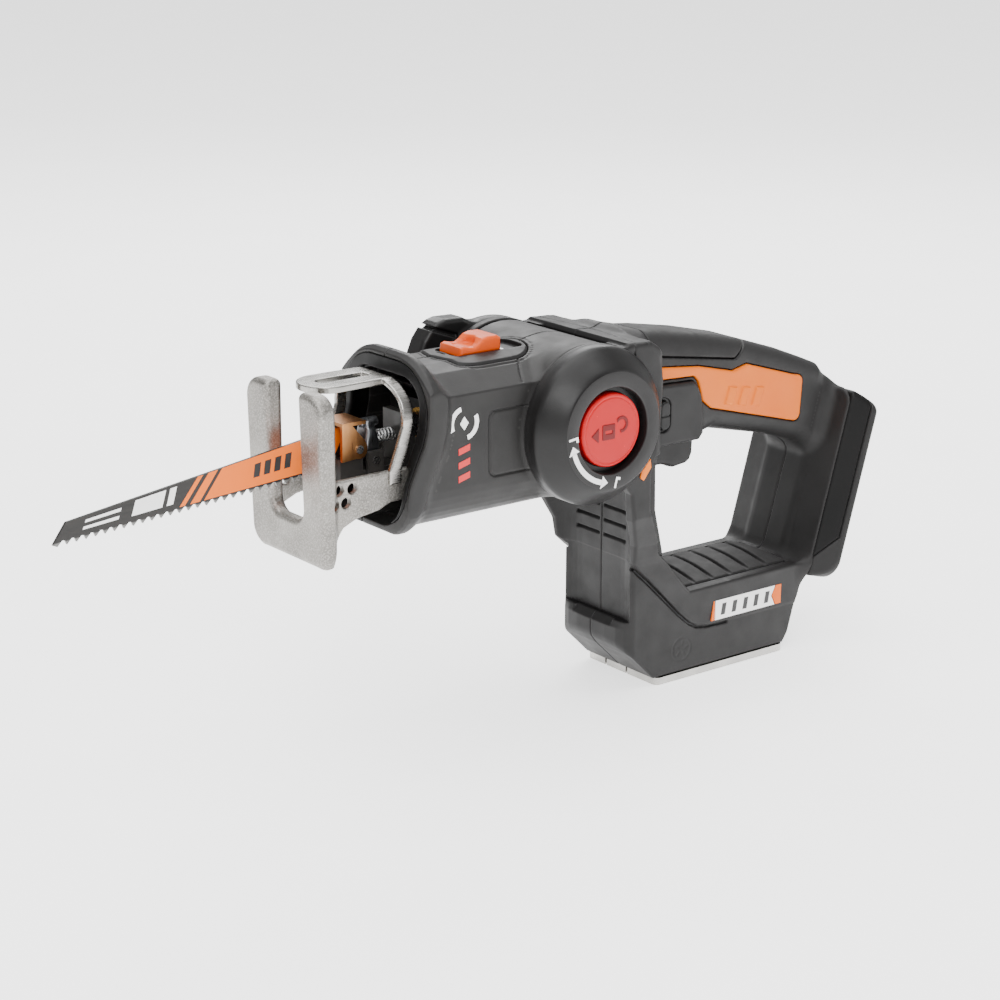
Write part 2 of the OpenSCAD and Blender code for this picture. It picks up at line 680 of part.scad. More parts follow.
shoe_low = pz - 43.3;
shoe_top = pz + 30.5;
prong_w = shoe_half - slot_half;
module shoe_face() {
    difference() {
        translate([-shoe_half, shoe_low + 8]) square([2 * shoe_half, shoe_top - shoe_low - 8 - prong_w / 2]);
        translate([-slot_half, shoe_low + 23]) square([2 * slot_half, 90]);
        translate([-slot_half + 5, shoe_low + 18]) square([2 * slot_half - 10, 90]);
    }
    translate([-shoe_half + 8, shoe_low]) square([2 * shoe_half - 16, 9]);
    for (s = [-1, 1]) {
        translate([s * (shoe_half - 8), shoe_low + 8]) circle(8, $fn = 64);
        translate([s * (shoe_half - prong_w / 2), shoe_top - prong_w / 2]) circle(prong_w / 2, $fn = 64);
    }
}

module shoe() color("#bdbab5") difference() {
    union() {
        along_x(face_x, face_x + 6.5) difference() {
            shoe_face();
            for (s = [-1, 1]) translate([s * (slot_half - 5), shoe_low + 23]) circle(5, $fn = 48);
        }
        both_sides() along_y(21.5, 24.5) polygon([[face_x + 6, 104.5], [-207, 112], [-148, 113.5],
            [-148, 130], [face_x + 6, 129.5]]);
        translate([-160, -24.5, 112.5]) cube([12, 49, 3]);
    }
    both_sides() {
        for (h = [[-216, 125.4], [-210, 125.4], [-219, 120], [-213.2, 120]]) y_rod(h, 15, 25, 2.7, 48);
        y_rod([-153, 122], 20, 30, 2, 48);
    }
}

module shoe_screws() color("#8d8d8d") both_sides() {
    y_rod([-153, 122], 13, 25, 1.7, 48);
    y_rod([-153, 122], 24.5, 26, 3, 48);
}

function guard_arch(inset) = concat([[26 - inset, 130]],
    arc([9, guard_z - 15], 17 - inset, 0, 90, 10), arc([-9, guard_z - 15], 17 - inset, 90, 180, 10),
    [[-26 + inset, 130]]);
module blade_guard() color("#d5d5d2") difference() {
    union() {
        intersection() {
            along_x(-191, -180) difference() {
                polygon(guard_arch(0));
                polygon(guard_arch(2));
            }
            along_y(-30, 30) polygon([[-189.5, 120], [-189.5, 132], [-185, 142], [-183, 150], [-184, 170],
                [-180, 170], [-179.5, 150], [-181, 142], [-185.5, 131], [-185.5, 120]]);
        }
        translate([0, 0, guard_z]) linear_extrude(2) polygon(concat(
            [[-180, -9], [-180, 9], [-205, 12]],
            arc([-206, 0], 12, 90, 270, 12), [[-205, -12]]));
    }
    translate([-205, -0.8, guard_z - 1]) cube([18, 1.6, 4]);
}

handle_shell_left();
handle_shell_right();
hub_cap_left();
hub_cap_right();
pivot_bushes();
lock_button();
lock_spring();
side_insert_left();
side_insert_right();
grip_pad_top();
grip_pad_lower();
hub_accents();
switch_cheek_left();
switch_cheek_right();
trigger();
trigger_switch();
lock_off_button();
battery_flange();
battery_rail();
terminal_block();
terminal_blades();
controller_board();
battery_leads();
base_plate();
base_screws();
housing_screws();
side_badges();
head_shell_left();
head_shell_right();
bezel();
top_panel();
selector_slide();
head_screws();
gearcase();
motor_can();
motor_magnets();
motor_endcap();
motor_bearings();
armature();
pinion();
crank_gear();
gear_bearing();
plunger();
plunger_bushes();
clamp_body();
clamp_bracket();
clamp_pins();
clamp_lever();
clamp_stud();
clamp_spring();
blade();
shoe();
shoe_screws();
blade_guard();
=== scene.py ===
"""Looks for a convertible cordless reciprocating saw: housings, materials, studio and camera.

Shapes are worked out in millimetres as signed distance fields and turned into meshes in metres.
The frame is the CAD's: origin under the base plate, +X back to the battery, +Z up, the blade
along -X, and the tool's left side, with the red button, towards -Y.
"""

import math

import bmesh
import bpy
import numpy as np
import openvdb as vdb
from mathutils import Matrix, Vector


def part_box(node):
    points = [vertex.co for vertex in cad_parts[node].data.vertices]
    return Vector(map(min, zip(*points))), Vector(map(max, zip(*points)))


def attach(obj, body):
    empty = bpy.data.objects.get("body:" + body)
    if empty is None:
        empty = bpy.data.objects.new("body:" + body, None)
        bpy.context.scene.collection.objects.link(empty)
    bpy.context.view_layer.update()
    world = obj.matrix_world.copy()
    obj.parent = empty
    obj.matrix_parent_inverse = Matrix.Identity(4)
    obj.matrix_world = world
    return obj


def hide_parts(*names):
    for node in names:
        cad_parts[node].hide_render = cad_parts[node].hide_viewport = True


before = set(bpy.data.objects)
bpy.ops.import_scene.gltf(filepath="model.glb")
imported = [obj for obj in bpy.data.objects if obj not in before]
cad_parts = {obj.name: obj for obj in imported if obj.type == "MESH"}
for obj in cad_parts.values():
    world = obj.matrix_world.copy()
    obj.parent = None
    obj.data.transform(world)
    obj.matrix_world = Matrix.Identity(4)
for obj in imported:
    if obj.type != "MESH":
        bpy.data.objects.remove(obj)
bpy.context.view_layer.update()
MM = 0.001


def node_box(node):
    """Lowest and highest corner of a CAD node, in mm."""
    lo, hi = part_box(node)
    return np.array(lo) / MM, np.array(hi) / MM


# ---- sizes taken from the frame ----

button_lo, button_hi = node_box("lock_button")
PIVOT_X = (button_lo[0] + button_hi[0]) / 2
PIVOT_Z = (button_lo[2] + button_hi[2]) / 2
BUTTON_R = (button_hi[0] - button_lo[0]) / 2
BUTTON_FACE = -button_lo[1]
HUB_FACE = -node_box("hub_cap_left")[0][1]
CAP_R = (node_box("hub_cap_left")[1][0] - node_box("hub_cap_left")[0][0]) / 2
PLATE_TOP = node_box("base_plate")[1][2]
ARM_OUT = node_box("handle_shell_right")[1][1]
BARREL_LOW = node_box("head_shell_left")[0][2]
BARREL_TOP = PIVOT_Z + 32.7
BEZEL_LO, BEZEL_HI = node_box("bezel")
SHOE_LO, SHOE_HI = node_box("shoe")
GUARD_LO, GUARD_HI = node_box("blade_guard")
FLANGE_HALF = node_box("battery_flange")[1][1]
DRUM_R = 35.0
LEAN = math.radians(16)
BATTERY_FOOT = (64.5, 36.6)
BARREL_SIDE = 31.0
ARM_IN = 31.8
INSERT_DEPTH = 15.6
BLADE_SLOPE = 0.07
BLADE_TIP = (332.3, 117.7)
CHAMFER = math.sqrt(0.5)

# voxel sizes for the sculpted pieces
FINE = 0.25
MEDIUM = 0.4
COARSE = 0.5


# ---- signed distances, negative inside ----


def poly(u, v, points):
    """Distance to a closed outline in the plane of u and v."""
    u, v = np.broadcast_arrays(np.float32(u), np.float32(v))
    near = np.full(u.shape, 1e9, np.float32)
    inside = np.zeros(u.shape, bool)
    for (au, av), (bu, bv) in zip(points, points[1:] + points[:1]):
        eu, ev = bu - au, bv - av
        du, dv = u - au, v - av
        t = np.clip((du * eu + dv * ev) / (eu * eu + ev * ev), 0, 1)
        near = np.minimum(near, (du - t * eu) ** 2 + (dv - t * ev) ** 2)
        if ev != 0:
            inside ^= ((av > v) != (bv > v)) & (du < dv * (eu / ev))
    return np.where(inside, -np.sqrt(near), np.sqrt(near))


def arc(cu, cv, r, start, end, n=10):
    """Points on a circle from one angle to another, in degrees."""
    angles = [math.radians(start + (end - start) * i / n) for i in range(n + 1)]
    return [(cu + r * math.cos(t), cv + r * math.sin(t)) for t in angles]


def slab(t, lo, hi):
    return np.abs(t - (lo + hi) / 2) - (hi - lo) / 2


def circle(u, v, cu, cv, r):
    return np.hypot(u - cu, v - cv) - r


def round_rect(u, v, half_u, half_v, r):
    qu, qv = np.abs(u) - half_u + r, np.abs(v) - half_v + r
    return np.hypot(np.maximum(qu, 0), np.maximum(qv, 0)) + np.minimum(np.maximum(qu, qv), 0) - r


def both(a, b, r=0.0):
    """Where a and b overlap, with the edge between them rounded to r."""
    if r == 0:
        return np.maximum(a, b)
    return np.minimum(np.maximum(a, b), -r) + np.hypot(np.maximum(a + r, 0), np.maximum(b + r, 0))


def either(a, b, r=0.0):
    """a and b together, with a fillet of radius r where they meet."""
    if r == 0:
        return np.minimum(a, b)
    return np.maximum(np.minimum(a, b), r) - np.hypot(np.maximum(r - a, 0), np.maximum(r - b, 0))


def less(a, b, r=0.0):
    return both(a, -b, r)


def chamfered(a, b, c):
    """Where a and b overlap, with the edge between them cut off c back from it."""
    return np.maximum(np.maximum(a, b), (a + b + c) * CHAMFER)


def groove(solid, line, width, depth):
    """A groove of that width and depth where the surface crosses line = 0."""
    return np.maximum(solid, -np.maximum(np.abs(line) - width / 2, -(solid + depth)))


def battery_axes(x, z):
    """Distance out of the battery face, and height up it."""
    dx, dz = x - BATTERY_FOOT[0], z - BATTERY_FOOT[1]
    return dx * math.cos(LEAN) - dz * math.sin(LEAN), dx * math.sin(LEAN) + dz * math.cos(LEAN)


# ---- meshes ----


def place(obj, body, finish, replaced=()):
    """Puts a finished piece on its body, with its material and what it stands for."""
    if finish is not None:
        obj.data.materials.clear()
        obj.data.materials.append(finish)
    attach(obj, body)
    if replaced:
        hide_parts(*replaced)
    return obj


def new_object(name, mesh):
    obj = bpy.data.objects.new(name, mesh)
    bpy.context.scene.collection.objects.link(obj)
    return obj


def sculpt(name, lo, hi, step, shape, body, finish, replaced=(), slot=None):
    """Meshes the zero surface of shape(x, y, z) inside the box from lo to hi."""
    lo = np.array(lo, np.float32) - 2 * step
    counts = np.ceil((np.array(hi, np.float32) + 2 * step - lo) / step).astype(int) + 1
    x, y, z = (
        (lo[i] + step * np.arange(counts[i], dtype=np.float32)).reshape(
            [-1 if k == i else 1 for k in range(3)])
        for i in range(3)
    )
    field = np.broadcast_to(shape(x, y, z), counts).astype(np.float32)
    field = np.clip(field, -3 * step, 3 * step)
    for axis in range(3):
        edge = [slice(None)] * 3
        for end in (0, -1):
            edge[axis] = end
            field[tuple(edge)] = 3 * step
    grid = vdb.FloatGrid()
    grid.background = 3 * step
    grid.copyFromArray(np.ascontiguousarray(field))
    points, _, quads = grid.convertToPolygons(isovalue=0.0, adaptivity=0.0)
    points = (points * step + lo) * MM
    mesh = bpy.data.meshes.new(name)
    mesh.vertices.add(len(points))
    mesh.vertices.foreach_set("co", points.astype(np.float32).ravel())
    mesh.loops.add(quads.size)
    a, b, c = (points[quads[:, i]] for i in (0, 1, 2))
    d = points[quads[:, 3]]
    volume = (np.einsum("ij,ij->i", a, np.cross(b, c)).sum()
              + np.einsum("ij,ij->i", a, np.cross(c, d)).sum())
    if volume < 0:
        quads = quads[:, ::-1]
    mesh.loops.foreach_set("vertex_index", quads.astype(np.int32).ravel())
    mesh.polygons.add(len(quads))
    mesh.polygons.foreach_set("loop_start", np.arange(0, quads.size, 4, dtype=np.int32))
    mesh.polygons.foreach_set("use_smooth", np.ones(len(quads), bool))
    mesh.update(calc_edges=True)
    mesh.validate()
    return place(new_object(name, mesh), body, finish, replaced)


def lathe(name, profile, body, finish, replaced=()):
    """Turns a closed profile of (radius, distance out to the left) round the hub axis."""
    segments = 160
    mesh = bmesh.new()
    rings = []
    for k in range(segments):
        t = 2 * math.pi * k / segments
        rings.append([
            mesh.verts.new(((PIVOT_X + r * math.cos(t)) * MM, -out * MM, (PIVOT_Z + r * math.sin(t)) * MM))
            for r, out in profile
        ])
    for k in range(segments):
        here, there = rings[k], rings[(k + 1) % segments]
        for i in range(len(profile)):
            j = (i + 1) % len(profile)
            mesh.faces.new((here[i], here[j], there[j], there[i]))
    bmesh.ops.recalc_face_normals(mesh, faces=mesh.faces)
    data = bpy.data.meshes.new(name)
    mesh.to_mesh(data)
    mesh.free()
    obj = new_object(name, data)
    for p in data.polygons:
        p.use_smooth = True
    data.set_sharp_from_angle(angle=math.radians(28))
    return place(obj, body, finish, replaced)


def prism(name, outlines, lo, hi, plane, body, finish, replaced=(), bevel=0.0):
    """Flat shapes between two heights. plane maps (u, v, t) in mm to (x, y, z)."""
    mesh = bmesh.new()
    for outline in outlines:
        low = [mesh.verts.new(np.array(plane(u, v, lo)) * MM) for u, v in outline]
        high = [mesh.verts.new(np.array(plane(u, v, hi)) * MM) for u, v in outline]
        mesh.faces.new(low)
        mesh.faces.new(high[::-1])
        for i in range(len(outline)):
            j = (i + 1) % len(outline)
            mesh.faces.new((low[i], low[j], high[j], high[i]))
    bmesh.ops.recalc_face_normals(mesh, faces=mesh.faces)
    data = bpy.data.meshes.new(name)
    mesh.to_mesh(data)
    mesh.free()
    obj = new_object(name, data)
    if bevel:
        soften(obj, bevel)
    return place(obj, body, finish, replaced)


def soften(obj, width):
    """Rounds the sharp edges of a piece without touching its mesh."""
    mod = obj.modifiers.new("edges", "BEVEL")
    mod.width = width * MM
    mod.segments = 2
    mod.limit_method = "ANGLE"
    mod.angle_limit = math.radians(35)


def on_side(side):
    """Plane of a piece that faces out on the left (-1) or right (+1)."""
    return lambda u, v, t: (u, side * t, v)


def on_top(u, v, t):
    return (u, v, t)


# ---- materials ----


def linear(hex_color):
    """An sRGB hex colour as linear RGBA."""
    parts = [int(hex_color[i:i + 2], 16) / 255 for i in (1, 3, 5)]
    return [c / 12.92 if c < 0.04045 else ((c + 0.055) / 1.055) ** 2.4 for c in parts] + [1.0]


class Surface:
    """A Principled material with noise-driven colour, roughness and bump."""

    def __init__(self, name, metallic=0.0, specular=0.5, sheen=0.0):
        self.material = bpy.data.materials.new(name)
        self.material.use_nodes = True
        self.tree = self.material.node_tree
        self.shader = self.tree.nodes["Principled BSDF"]
        self.shader.inputs["Metallic"].default_value = metallic
        self.shader.inputs["Specular IOR Level"].default_value = specular
        self.shader.inputs["Sheen Weight"].default_value = sheen
        self.coord = self.node("ShaderNodeTexCoord").outputs["Object"]
        self.height = None

    def node(self, kind, **values):
        made = self.tree.nodes.new(kind)
        for key, value in values.items():
            setattr(made, key, value)
        return made

    def link(self, a, b):
        self.tree.links.new(a, b)

    def noise(self, scale, detail=3.0, stretch=(1, 1, 1), rough=0.55):
        """Noise fixed to the piece; scale is in features per metre."""
        place_node = self.node("ShaderNodeMapping")
        place_node.inputs["Scale"].default_value = stretch
        tex = self.node("ShaderNodeTexNoise")
        tex.inputs["Scale"].default_value = scale
        tex.inputs["Detail"].default_value = detail
        tex.inputs["Roughness"].default_value = rough
        self.link(self.coord, place_node.inputs["Vector"])
        self.link(place_node.outputs["Vector"], tex.inputs["Vector"])
        return tex.outputs["Fac"]

    def ramp(self, value, low, high, start=0.3, end=0.7):
        made = self.node("ShaderNodeMapRange")
        made.inputs["From Min"].default_value = start
        made.inputs["From Max"].default_value = end
        made.inputs["To Min"].default_value = low
        made.inputs["To Max"].default_value = high
        self.link(value, made.inputs["Value"])
        return made.outputs["Result"]

    def colors(self, factor, first, second, start=0.3, end=0.7):
        made = self.node("ShaderNodeValToRGB")
        made.color_ramp.elements[0].position = start
        made.color_ramp.elements[0].color = first
        made.color_ramp.elements[1].position = end
        made.color_ramp.elements[1].color = second
        self.link(factor, made.inputs["Fac"])
        return made.outputs["Color"]

    def mix(self, factor, a, b):
        made = self.node("ShaderNodeMix", data_type="RGBA")
        self.link(factor, made.inputs["Factor"])
        for value, socket in ((a, made.inputs[6]), (b, made.inputs[7])):
            if isinstance(value, list):
                socket.default_value = value
            else:
                self.link(value, socket)
        return made.outputs[2]

    def bump(self, height, strength, distance):
        made = self.node("ShaderNodeBump")
        made.inputs["Strength"].default_value = strength
        made.inputs["Distance"].default_value = distance * MM
        self.link(height, made.inputs["Height"])
        if self.height is not None:
            self.link(self.height, made.inputs["Normal"])
        self.height = made.outputs["Normal"]
        self.link(self.height, self.shader.inputs["Normal"])

    def edges(self, base, edge_highlight, start=0.53, end=0.62):
        """Lightens convex edges with a painted highlight, where edges catch the light."""
        sharp = self.node("ShaderNodeNewGeometry").outputs["Pointiness"]
        return self.mix(self.ramp(sharp, 0.0, 0.6, start, end), base, edge_highlight)


def moulded(name, dark, light, rough, grain, depth, specular=0.5, sheen=0.0):
    """Moulded plastic or rubber with a fine spark-eroded grain."""
    s = Surface(name, specular=specular, sheen=sheen)
    broad = s.noise(38, 4)
    fine = s.noise(grain, 2)
    tone = s.colors(broad, linear(dark), linear(light))
    speck = s.mix(s.ramp(fine, 0.0, 0.35, 0.5, 0.75), tone, linear(light))
    # painted highlight: a lighter copy of the colour laid on convex edges, where they catch the light
    edge_highlight = [min(1.0, c * 1.7 + 0.01) for c in linear(light)[:3]] + [1.0]
    s.link(s.edges(speck, edge_highlight), s.shader.inputs["Base Color"])
    s.link(s.ramp(s.noise(90, 5), *rough), s.shader.inputs["Roughness"])
    s.bump(fine, 0.5, depth)
    s.bump(broad, 0.08, 0.3)
    return s.material


def cast(name, dark, light):
    """Sand-blasted cast aluminium with a coarse sparkle."""
    s = Surface(name, metallic=0.85)
    grit = s.noise(1300, 3, rough=0.7)
    patches = s.noise(60, 4)
    tone = s.colors(patches, linear(dark), linear(light))
    s.link(s.mix(s.ramp(grit, 0.0, 0.7, 0.45, 0.7), tone, linear("#c4c1bb")), s.shader.inputs["Base Color"])
    s.link(s.ramp(grit, 0.34, 0.58), s.shader.inputs["Roughness"])
    s.bump(grit, 0.6, 0.12)
    s.bump(patches, 0.15, 0.5)
    return s.material


def brushed(name, dark, light, along, rough=(0.22, 0.38)):
    """Rolled or machined metal, with the grain drawn out along one axis."""
    s = Surface(name, metallic=1.0)
    stretch = tuple(0.06 if i == "xyz".index(along) else 1.0 for i in range(3))
    lines = s.noise(1500, 3, stretch)
    stain = s.noise(70, 4)
    tone = s.colors(stain, linear(dark), linear(light))
    s.link(s.mix(s.ramp(lines, 0.0, 0.4), tone, linear(light)), s.shader.inputs["Base Color"])
    s.link(s.ramp(lines, *rough), s.shader.inputs["Roughness"])
    s.bump(lines, 0.25, 0.03)
    return s.material


def coated_blade(name):
    """Black coating with bare set teeth; the bare band follows the cutting edge."""
    s = Surface(name, metallic=0.3)
    parts = s.node("ShaderNodeSeparateXYZ")
    s.link(s.coord, parts.inputs["Vector"])
    slope = s.node("ShaderNodeMath", operation="MULTIPLY_ADD")
    s.link(parts.outputs["X"], slope.inputs[0])
    slope.inputs[1].default_value = -BLADE_SLOPE
    s.link(parts.outputs["Z"], slope.inputs[2])
    edge = (BLADE_TIP[1] + BLADE_SLOPE * BLADE_TIP[0] + 1.5) * MM
    scratch = s.noise(500, 4, (0.2, 1, 1))
    bare = s.ramp(slope.outputs["Value"], 1.0, 0.0, edge - 0.25 * MM, edge + 0.25 * MM)
    black = s.colors(scratch, linear("#161514"), linear("#2a2826"))
    s.link(s.mix(bare, black, linear("#6f6e6c")), s.shader.inputs["Base Color"])
    s.link(s.ramp(scratch, 0.3, 0.5), s.shader.inputs["Roughness"])
    s.bump(scratch, 0.2, 0.03)
    return s.material


HOUSING = moulded("housing_plastic", "#151414", "#1b1a1a", (0.44, 0.6), 1700, 0.06, specular=0.32)
HOUSING_DARK = moulded("housing_dark_plastic", "#131212", "#191818", (0.42, 0.58), 1900, 0.05, specular=0.3)
HEAD = moulded("head_plastic", "#181717", "#1f1e1d", (0.42, 0.56), 1700, 0.06, specular=0.34)
CAP = moulded("hub_cap_plastic", "#0d0c0c", "#121111", (0.32, 0.46), 1900, 0.05, specular=0.3)
RING = moulded("hub_face_plastic", "#1c1b1b", "#242323", (0.45, 0.6), 1500, 0.07, specular=0.3)
BAND = moulded("black_overmould", "#050505", "#090808", (0.4, 0.55), 1400, 0.05, specular=0.2)
SOFT = moulded("soft_grip", "#1a1919", "#212020", (0.6, 0.78), 1300, 0.07, specular=0.28, sheen=0.05)
SOFT_TOP = moulded("soft_grip_top", "#181717", "#1e1d1d", (0.5, 0.66), 1300, 0.07, specular=0.3)
BLACK = moulded("black_plastic", "#070707", "#0b0a0a", (0.35, 0.5), 2000, 0.04, specular=0.3)
INNER = moulded("inner_plastic", "#060606", "#0a0909", (0.5, 0.7), 1200, 0.06, specular=0.2)
ORANGE = moulded("orange_insert", "#d06000", "#d86a00", (0.4, 0.54), 1500, 0.03, specular=0.3)
SLIDE = moulded("orange_slide", "#d04a00", "#d85400", (0.34, 0.48), 1500, 0.03, specular=0.35)
RED = moulded("red_button", "#ac0208", "#b6060c", (0.36, 0.5), 1600, 0.03, specular=0.3)
WHITE = moulded("white_print", "#e9e8e6", "#f6f5f3", (0.4, 0.55), 1500, 0.01)
RED_DEEP = moulded("deep_red_print", "#5e0306", "#6c0508", (0.4, 0.55), 1500, 0.01, specular=0.3)
RED_PRINT = moulded("red_print", "#a80a0c", "#b41010", (0.4, 0.55), 1500, 0.01)
ORANGE_PRINT = moulded("orange_print", "#d05600", "#d86000", (0.4, 0.55), 1500, 0.01, specular=0.3)
BLACK_PRINT = moulded("black_print", "#0c0c0c", "#141313", (0.4, 0.55), 1500, 0.01)
BOARD = moulded("board_lacquer", "#1a5c33", "#237241", (0.3, 0.45), 900, 0.05)
WIRE = moulded("wire_insulation", "#a8312a", "#bf4034", (0.4, 0.55), 900, 0.03)
CAST = cast("cast_aluminium", "#6f6c68", "#8c8984")
PLATE = brushed("plate_steel", "#a3a19d", "#c2c0bc", "x", (0.24, 0.4))
GUARD = brushed("guard_steel", "#85837f", "#b3b1ad", "x", (0.2, 0.36))
STEEL = brushed("machined_steel", "#8d8d8e", "#b3b3b3", "y")
DARK_STEEL = brushed("dark_steel", "#5a5c61", "#7c7f85", "z", (0.3, 0.48))
LEVER_STEEL = brushed("lever_steel", "#77797d", "#9a9ca0", "z", (0.26, 0.42))
COPPER = brushed("copper_plate", "#8f6038", "#b98557", "z", (0.26, 0.42))
BRONZE = brushed("bronze", "#94713a", "#b8924f", "y")
MAGNET = moulded("sintered_magnet", "#1b1b1c", "#262627", (0.35, 0.55), 900, 0.08)
CLAMP = moulded("blackened_steel", "#121110", "#201e1c", (0.35, 0.55), 800, 0.08)
BLADE = coated_blade("coated_blade")


# ---- outlines ----

# across the barrel, as distance from the middle plane and height
SECTION = [(-6, BARREL_LOW + 0.2)] + arc(14, BARREL_LOW + 17.2, 17.0, -90, 0, 8) + [
    (31, PIVOT_Z + 22.5), (18.5, BARREL_TOP - 2.8), (10, BARREL_TOP - 0.5), (0, BARREL_TOP), (-6, BARREL_TOP)]
HOLLOW = [(-6, BARREL_LOW + 3)] + arc(13, BARREL_LOW + 18, 15, -90, 0, 8) + [
    (28, PIVOT_Z + 19.5), (16.5, BARREL_TOP - 4.9), (9, BARREL_TOP - 4), (-6, BARREL_TOP - 4)]
MOUTH_SECTION = [(-6, BARREL_LOW)] + arc(14, BARREL_LOW + 19.4, 19.4, -90, 0, 10) + arc(
    9.5, BEZEL_HI[2] - 24, 24, 0, 90, 12) + [(-6, BEZEL_HI[2])]
MOUTH_HOLE = [(-6, BARREL_LOW + 3)] + arc(13, BARREL_LOW + 17.5, 14.5, -90, 0, 10) + arc(
    8.5, PIVOT_Z + 15.5, 19, 0, 90, 12) + [(-6, PIVOT_Z + 34.5)]
# the top panel from above
PANEL = [(-153, 0)] + arc(-138, 0, 17.3, -125, -90, 4) + arc(-121, 0, 17.3, -90, 90, 16) + arc(
    -138, 0, 17.3, 90, 125, 4)

# the handle from the side
CORE = [(-42.0, 3.7), (41, 3.7), (46, 11), (51, 25), (61, 33), (60, 43.3), (-36, 43.3), (-38.3, 66),
        (-43, 86), (-43.5, 112), (-50, 116), (-62, 116), (-62, 25), (-56.5, 18)]
COLLAR = arc(PIVOT_X, PIVOT_Z, 36, 60, -20) + [
    (-56, 108), (-43.5, 108), (-43, 125), (-43, 150), (-48, 163), (-57, 168.7), (-71, 169.6)]
ARM = [(-90, 101), (-72, 106), (-67.5, 100), (-66, 87), (-60, 73), (-59.3, 64), (-57, 61.5), (-47.7, 53),
       (-37.4, 42.9), (-27.3, 32.8), (-20.5, 27.0), (-15.9, 24.4), (-9, 23.3), (12, 22.7), (50, 22.7),
       (60, 43.3), (-22, 43.3), (-39.4, 62.3), (-44.8, 67), (-46.3, 74), (-55.7, 90.3), (-55.9, 107),
       (-53, 118), (-50, 150), (-53, 162), (-60, 168.5), (-75, 168), (-90, 150)]
GRIP = [(-56, 112.5), (-9, 112.5), (0, 114.8), (36, 106.5), (54, 100.5), (62, 96), (80, 94), (85, 118),
        (70, 136.4), (60, 140.6), (42.7, 147.4), (16.5, 156.0), (-8.8, 161.9), (-33.4, 166.2), (-56, 168.7)]
STEM = [(42, 42), (48.7, 43.5), (53.8, 58), (59.4, 76.5), (64.5, 92), (63, 104), (86, 104), (66, 33.5),
        (54, 33.5)]
INSERT = [(-36, 150.2), (-12, 147.5), (9, 142.4), (18, 144.4), (48, 135.2)] + arc(51, 131, 3.5, 70, -10, 5) + [
    (53.6, 115.5)] + arc(50.3, 115.3, 3.2, -10, -100, 5) + [
    (-4, 126.6), (-9.5, 131), (-12.4, 140.5), (-15, 143.4), (-36, 144.4)]
CHEEK = [(-46, 113), (-12, 113), (-9.5, 116), (-9.5, 124), (-11, 134), (-13.2, 138.5), (-16, 141.2),
         (-46, 142.5)]
TOP_PAD = [(-38.6, 155.6), (10.5, 147.9), (15.5, 151), (20.5, 154.5), (23, 162), (22, 175), (-41.3, 175),
           (-42, 159)]
PAD_LO, PAD_HI = node_box("grip_pad_lower")
LOCK_LO, LOCK_HI = node_box("lock_off_button")
TRIGGER_LO, TRIGGER_HI = node_box("trigger")


# ---- handle ----


def arm_half_width(z):
    """Half of the width over the arms, which step in below the hub and sweep down to the badge."""
    return np.interp(z, [3.5, 22, 33, 43, 53, 62, 66, 72, 88, 180],
                     [24.8, 25.0, 25.7, 26.5, 27.4, 28.6, 29.5, 30.4, ARM_OUT, ARM_OUT]).astype(np.float32)


def grip_surface(x, a, z):
    return both(poly(x, z, GRIP), a - 17.2, 9.5)


def lock_off_profile(x, z, gap):
    cx, cz = (LOCK_LO[0] + LOCK_HI[0]) / 2, (LOCK_LO[2] + LOCK_HI[2]) / 2
    return round_rect(x - cx, z - cz, (LOCK_HI[0] - LOCK_LO[0]) / 2, (LOCK_HI[2] - LOCK_LO[2]) / 2, 2.8) - gap


def swung_head(x, a, z):
    """The barrel as it stands in front of the column when the head is turned down."""
    down = PIVOT_X + PIVOT_Z - x
    tube = np.minimum(poly(a, down, SECTION), np.maximum(poly(a, down, MOUTH_SECTION), z - 62))
    return np.maximum(tube, np.maximum(z - PIVOT_Z, 34.6 - z)) - 0.7


def column_front(a, z):
    """How far forward the column reaches: a sunk channel between two ribs, above a rounded nose."""
    upper = np.interp(a, [0, 13.0, 13.9, 18, 21, 24.7], [-55.9, -55.9, -58.0, -58.1, -57.9, -55.5])
    nose = np.interp(a, [0, 10, 17, 21.5, 24.7], [-60.3, -60.2, -59.6, -58.2, -55.5])
    share = np.interp(z, [30.5, 35], [1, 0])
    return (upper + (nose - upper) * share).astype(np.float32)


def louvres(x, a, z):
    """Three sloping air slots across the channel and its ribs."""
    cuts = np.float32(1e3)
    for low in (68.5, 75.5, 82.5):
        slope = (x + 56.2 - 0.95 * (z - low)) * 0.72
        cuts = np.minimum(cuts, np.maximum(slope, np.maximum(slab(z, low, low + 3.4), slab(a, 1.3, 17.6))))
    return cuts


def handle_body(x, y, z):
    """The handle as one solid, before anything is cut out of it."""
    a = np.abs(y)
    core = both(poly(x, z, CORE), a - 24.7, 1.0)
    core = both(core, (column_front(a, z) - x) * 0.85, 1.2)
    collar = both(poly(x, z, COLLAR), a - 27, 3)
    arms = either(poly(x, z, ARM), circle(x, z, PIVOT_X, PIVOT_Z, CAP_R))
    arms = both(np.maximum(arms, 23 - a), (a - arm_half_width(z)) * 0.95, 1.3)
    shoulder = both(both(poly(x, z, COLLAR), a - ARM_OUT, 3), np.maximum(-(x + 75), x + 50), 3)
    shoulder = np.maximum(shoulder, 116 - z)
    body = either(either(core, collar, 1.5), either(arms, shoulder, 1.0), 0.4)
    body = either(body, grip_surface(x, a, z), 8)

    w, h = battery_axes(x, z)
    stem = both(poly(x, z, STEM), a - 14, 4)
    flare = np.maximum((0.2 * np.maximum(a - 13, 0) - (w + 16.2)) * 0.98, w + 11.8)
    flare = both(flare, round_rect(h - 42.5, a, 47, 30.2, 8), 2.5)
    return either(body, either(stem, flare, 3), 6)


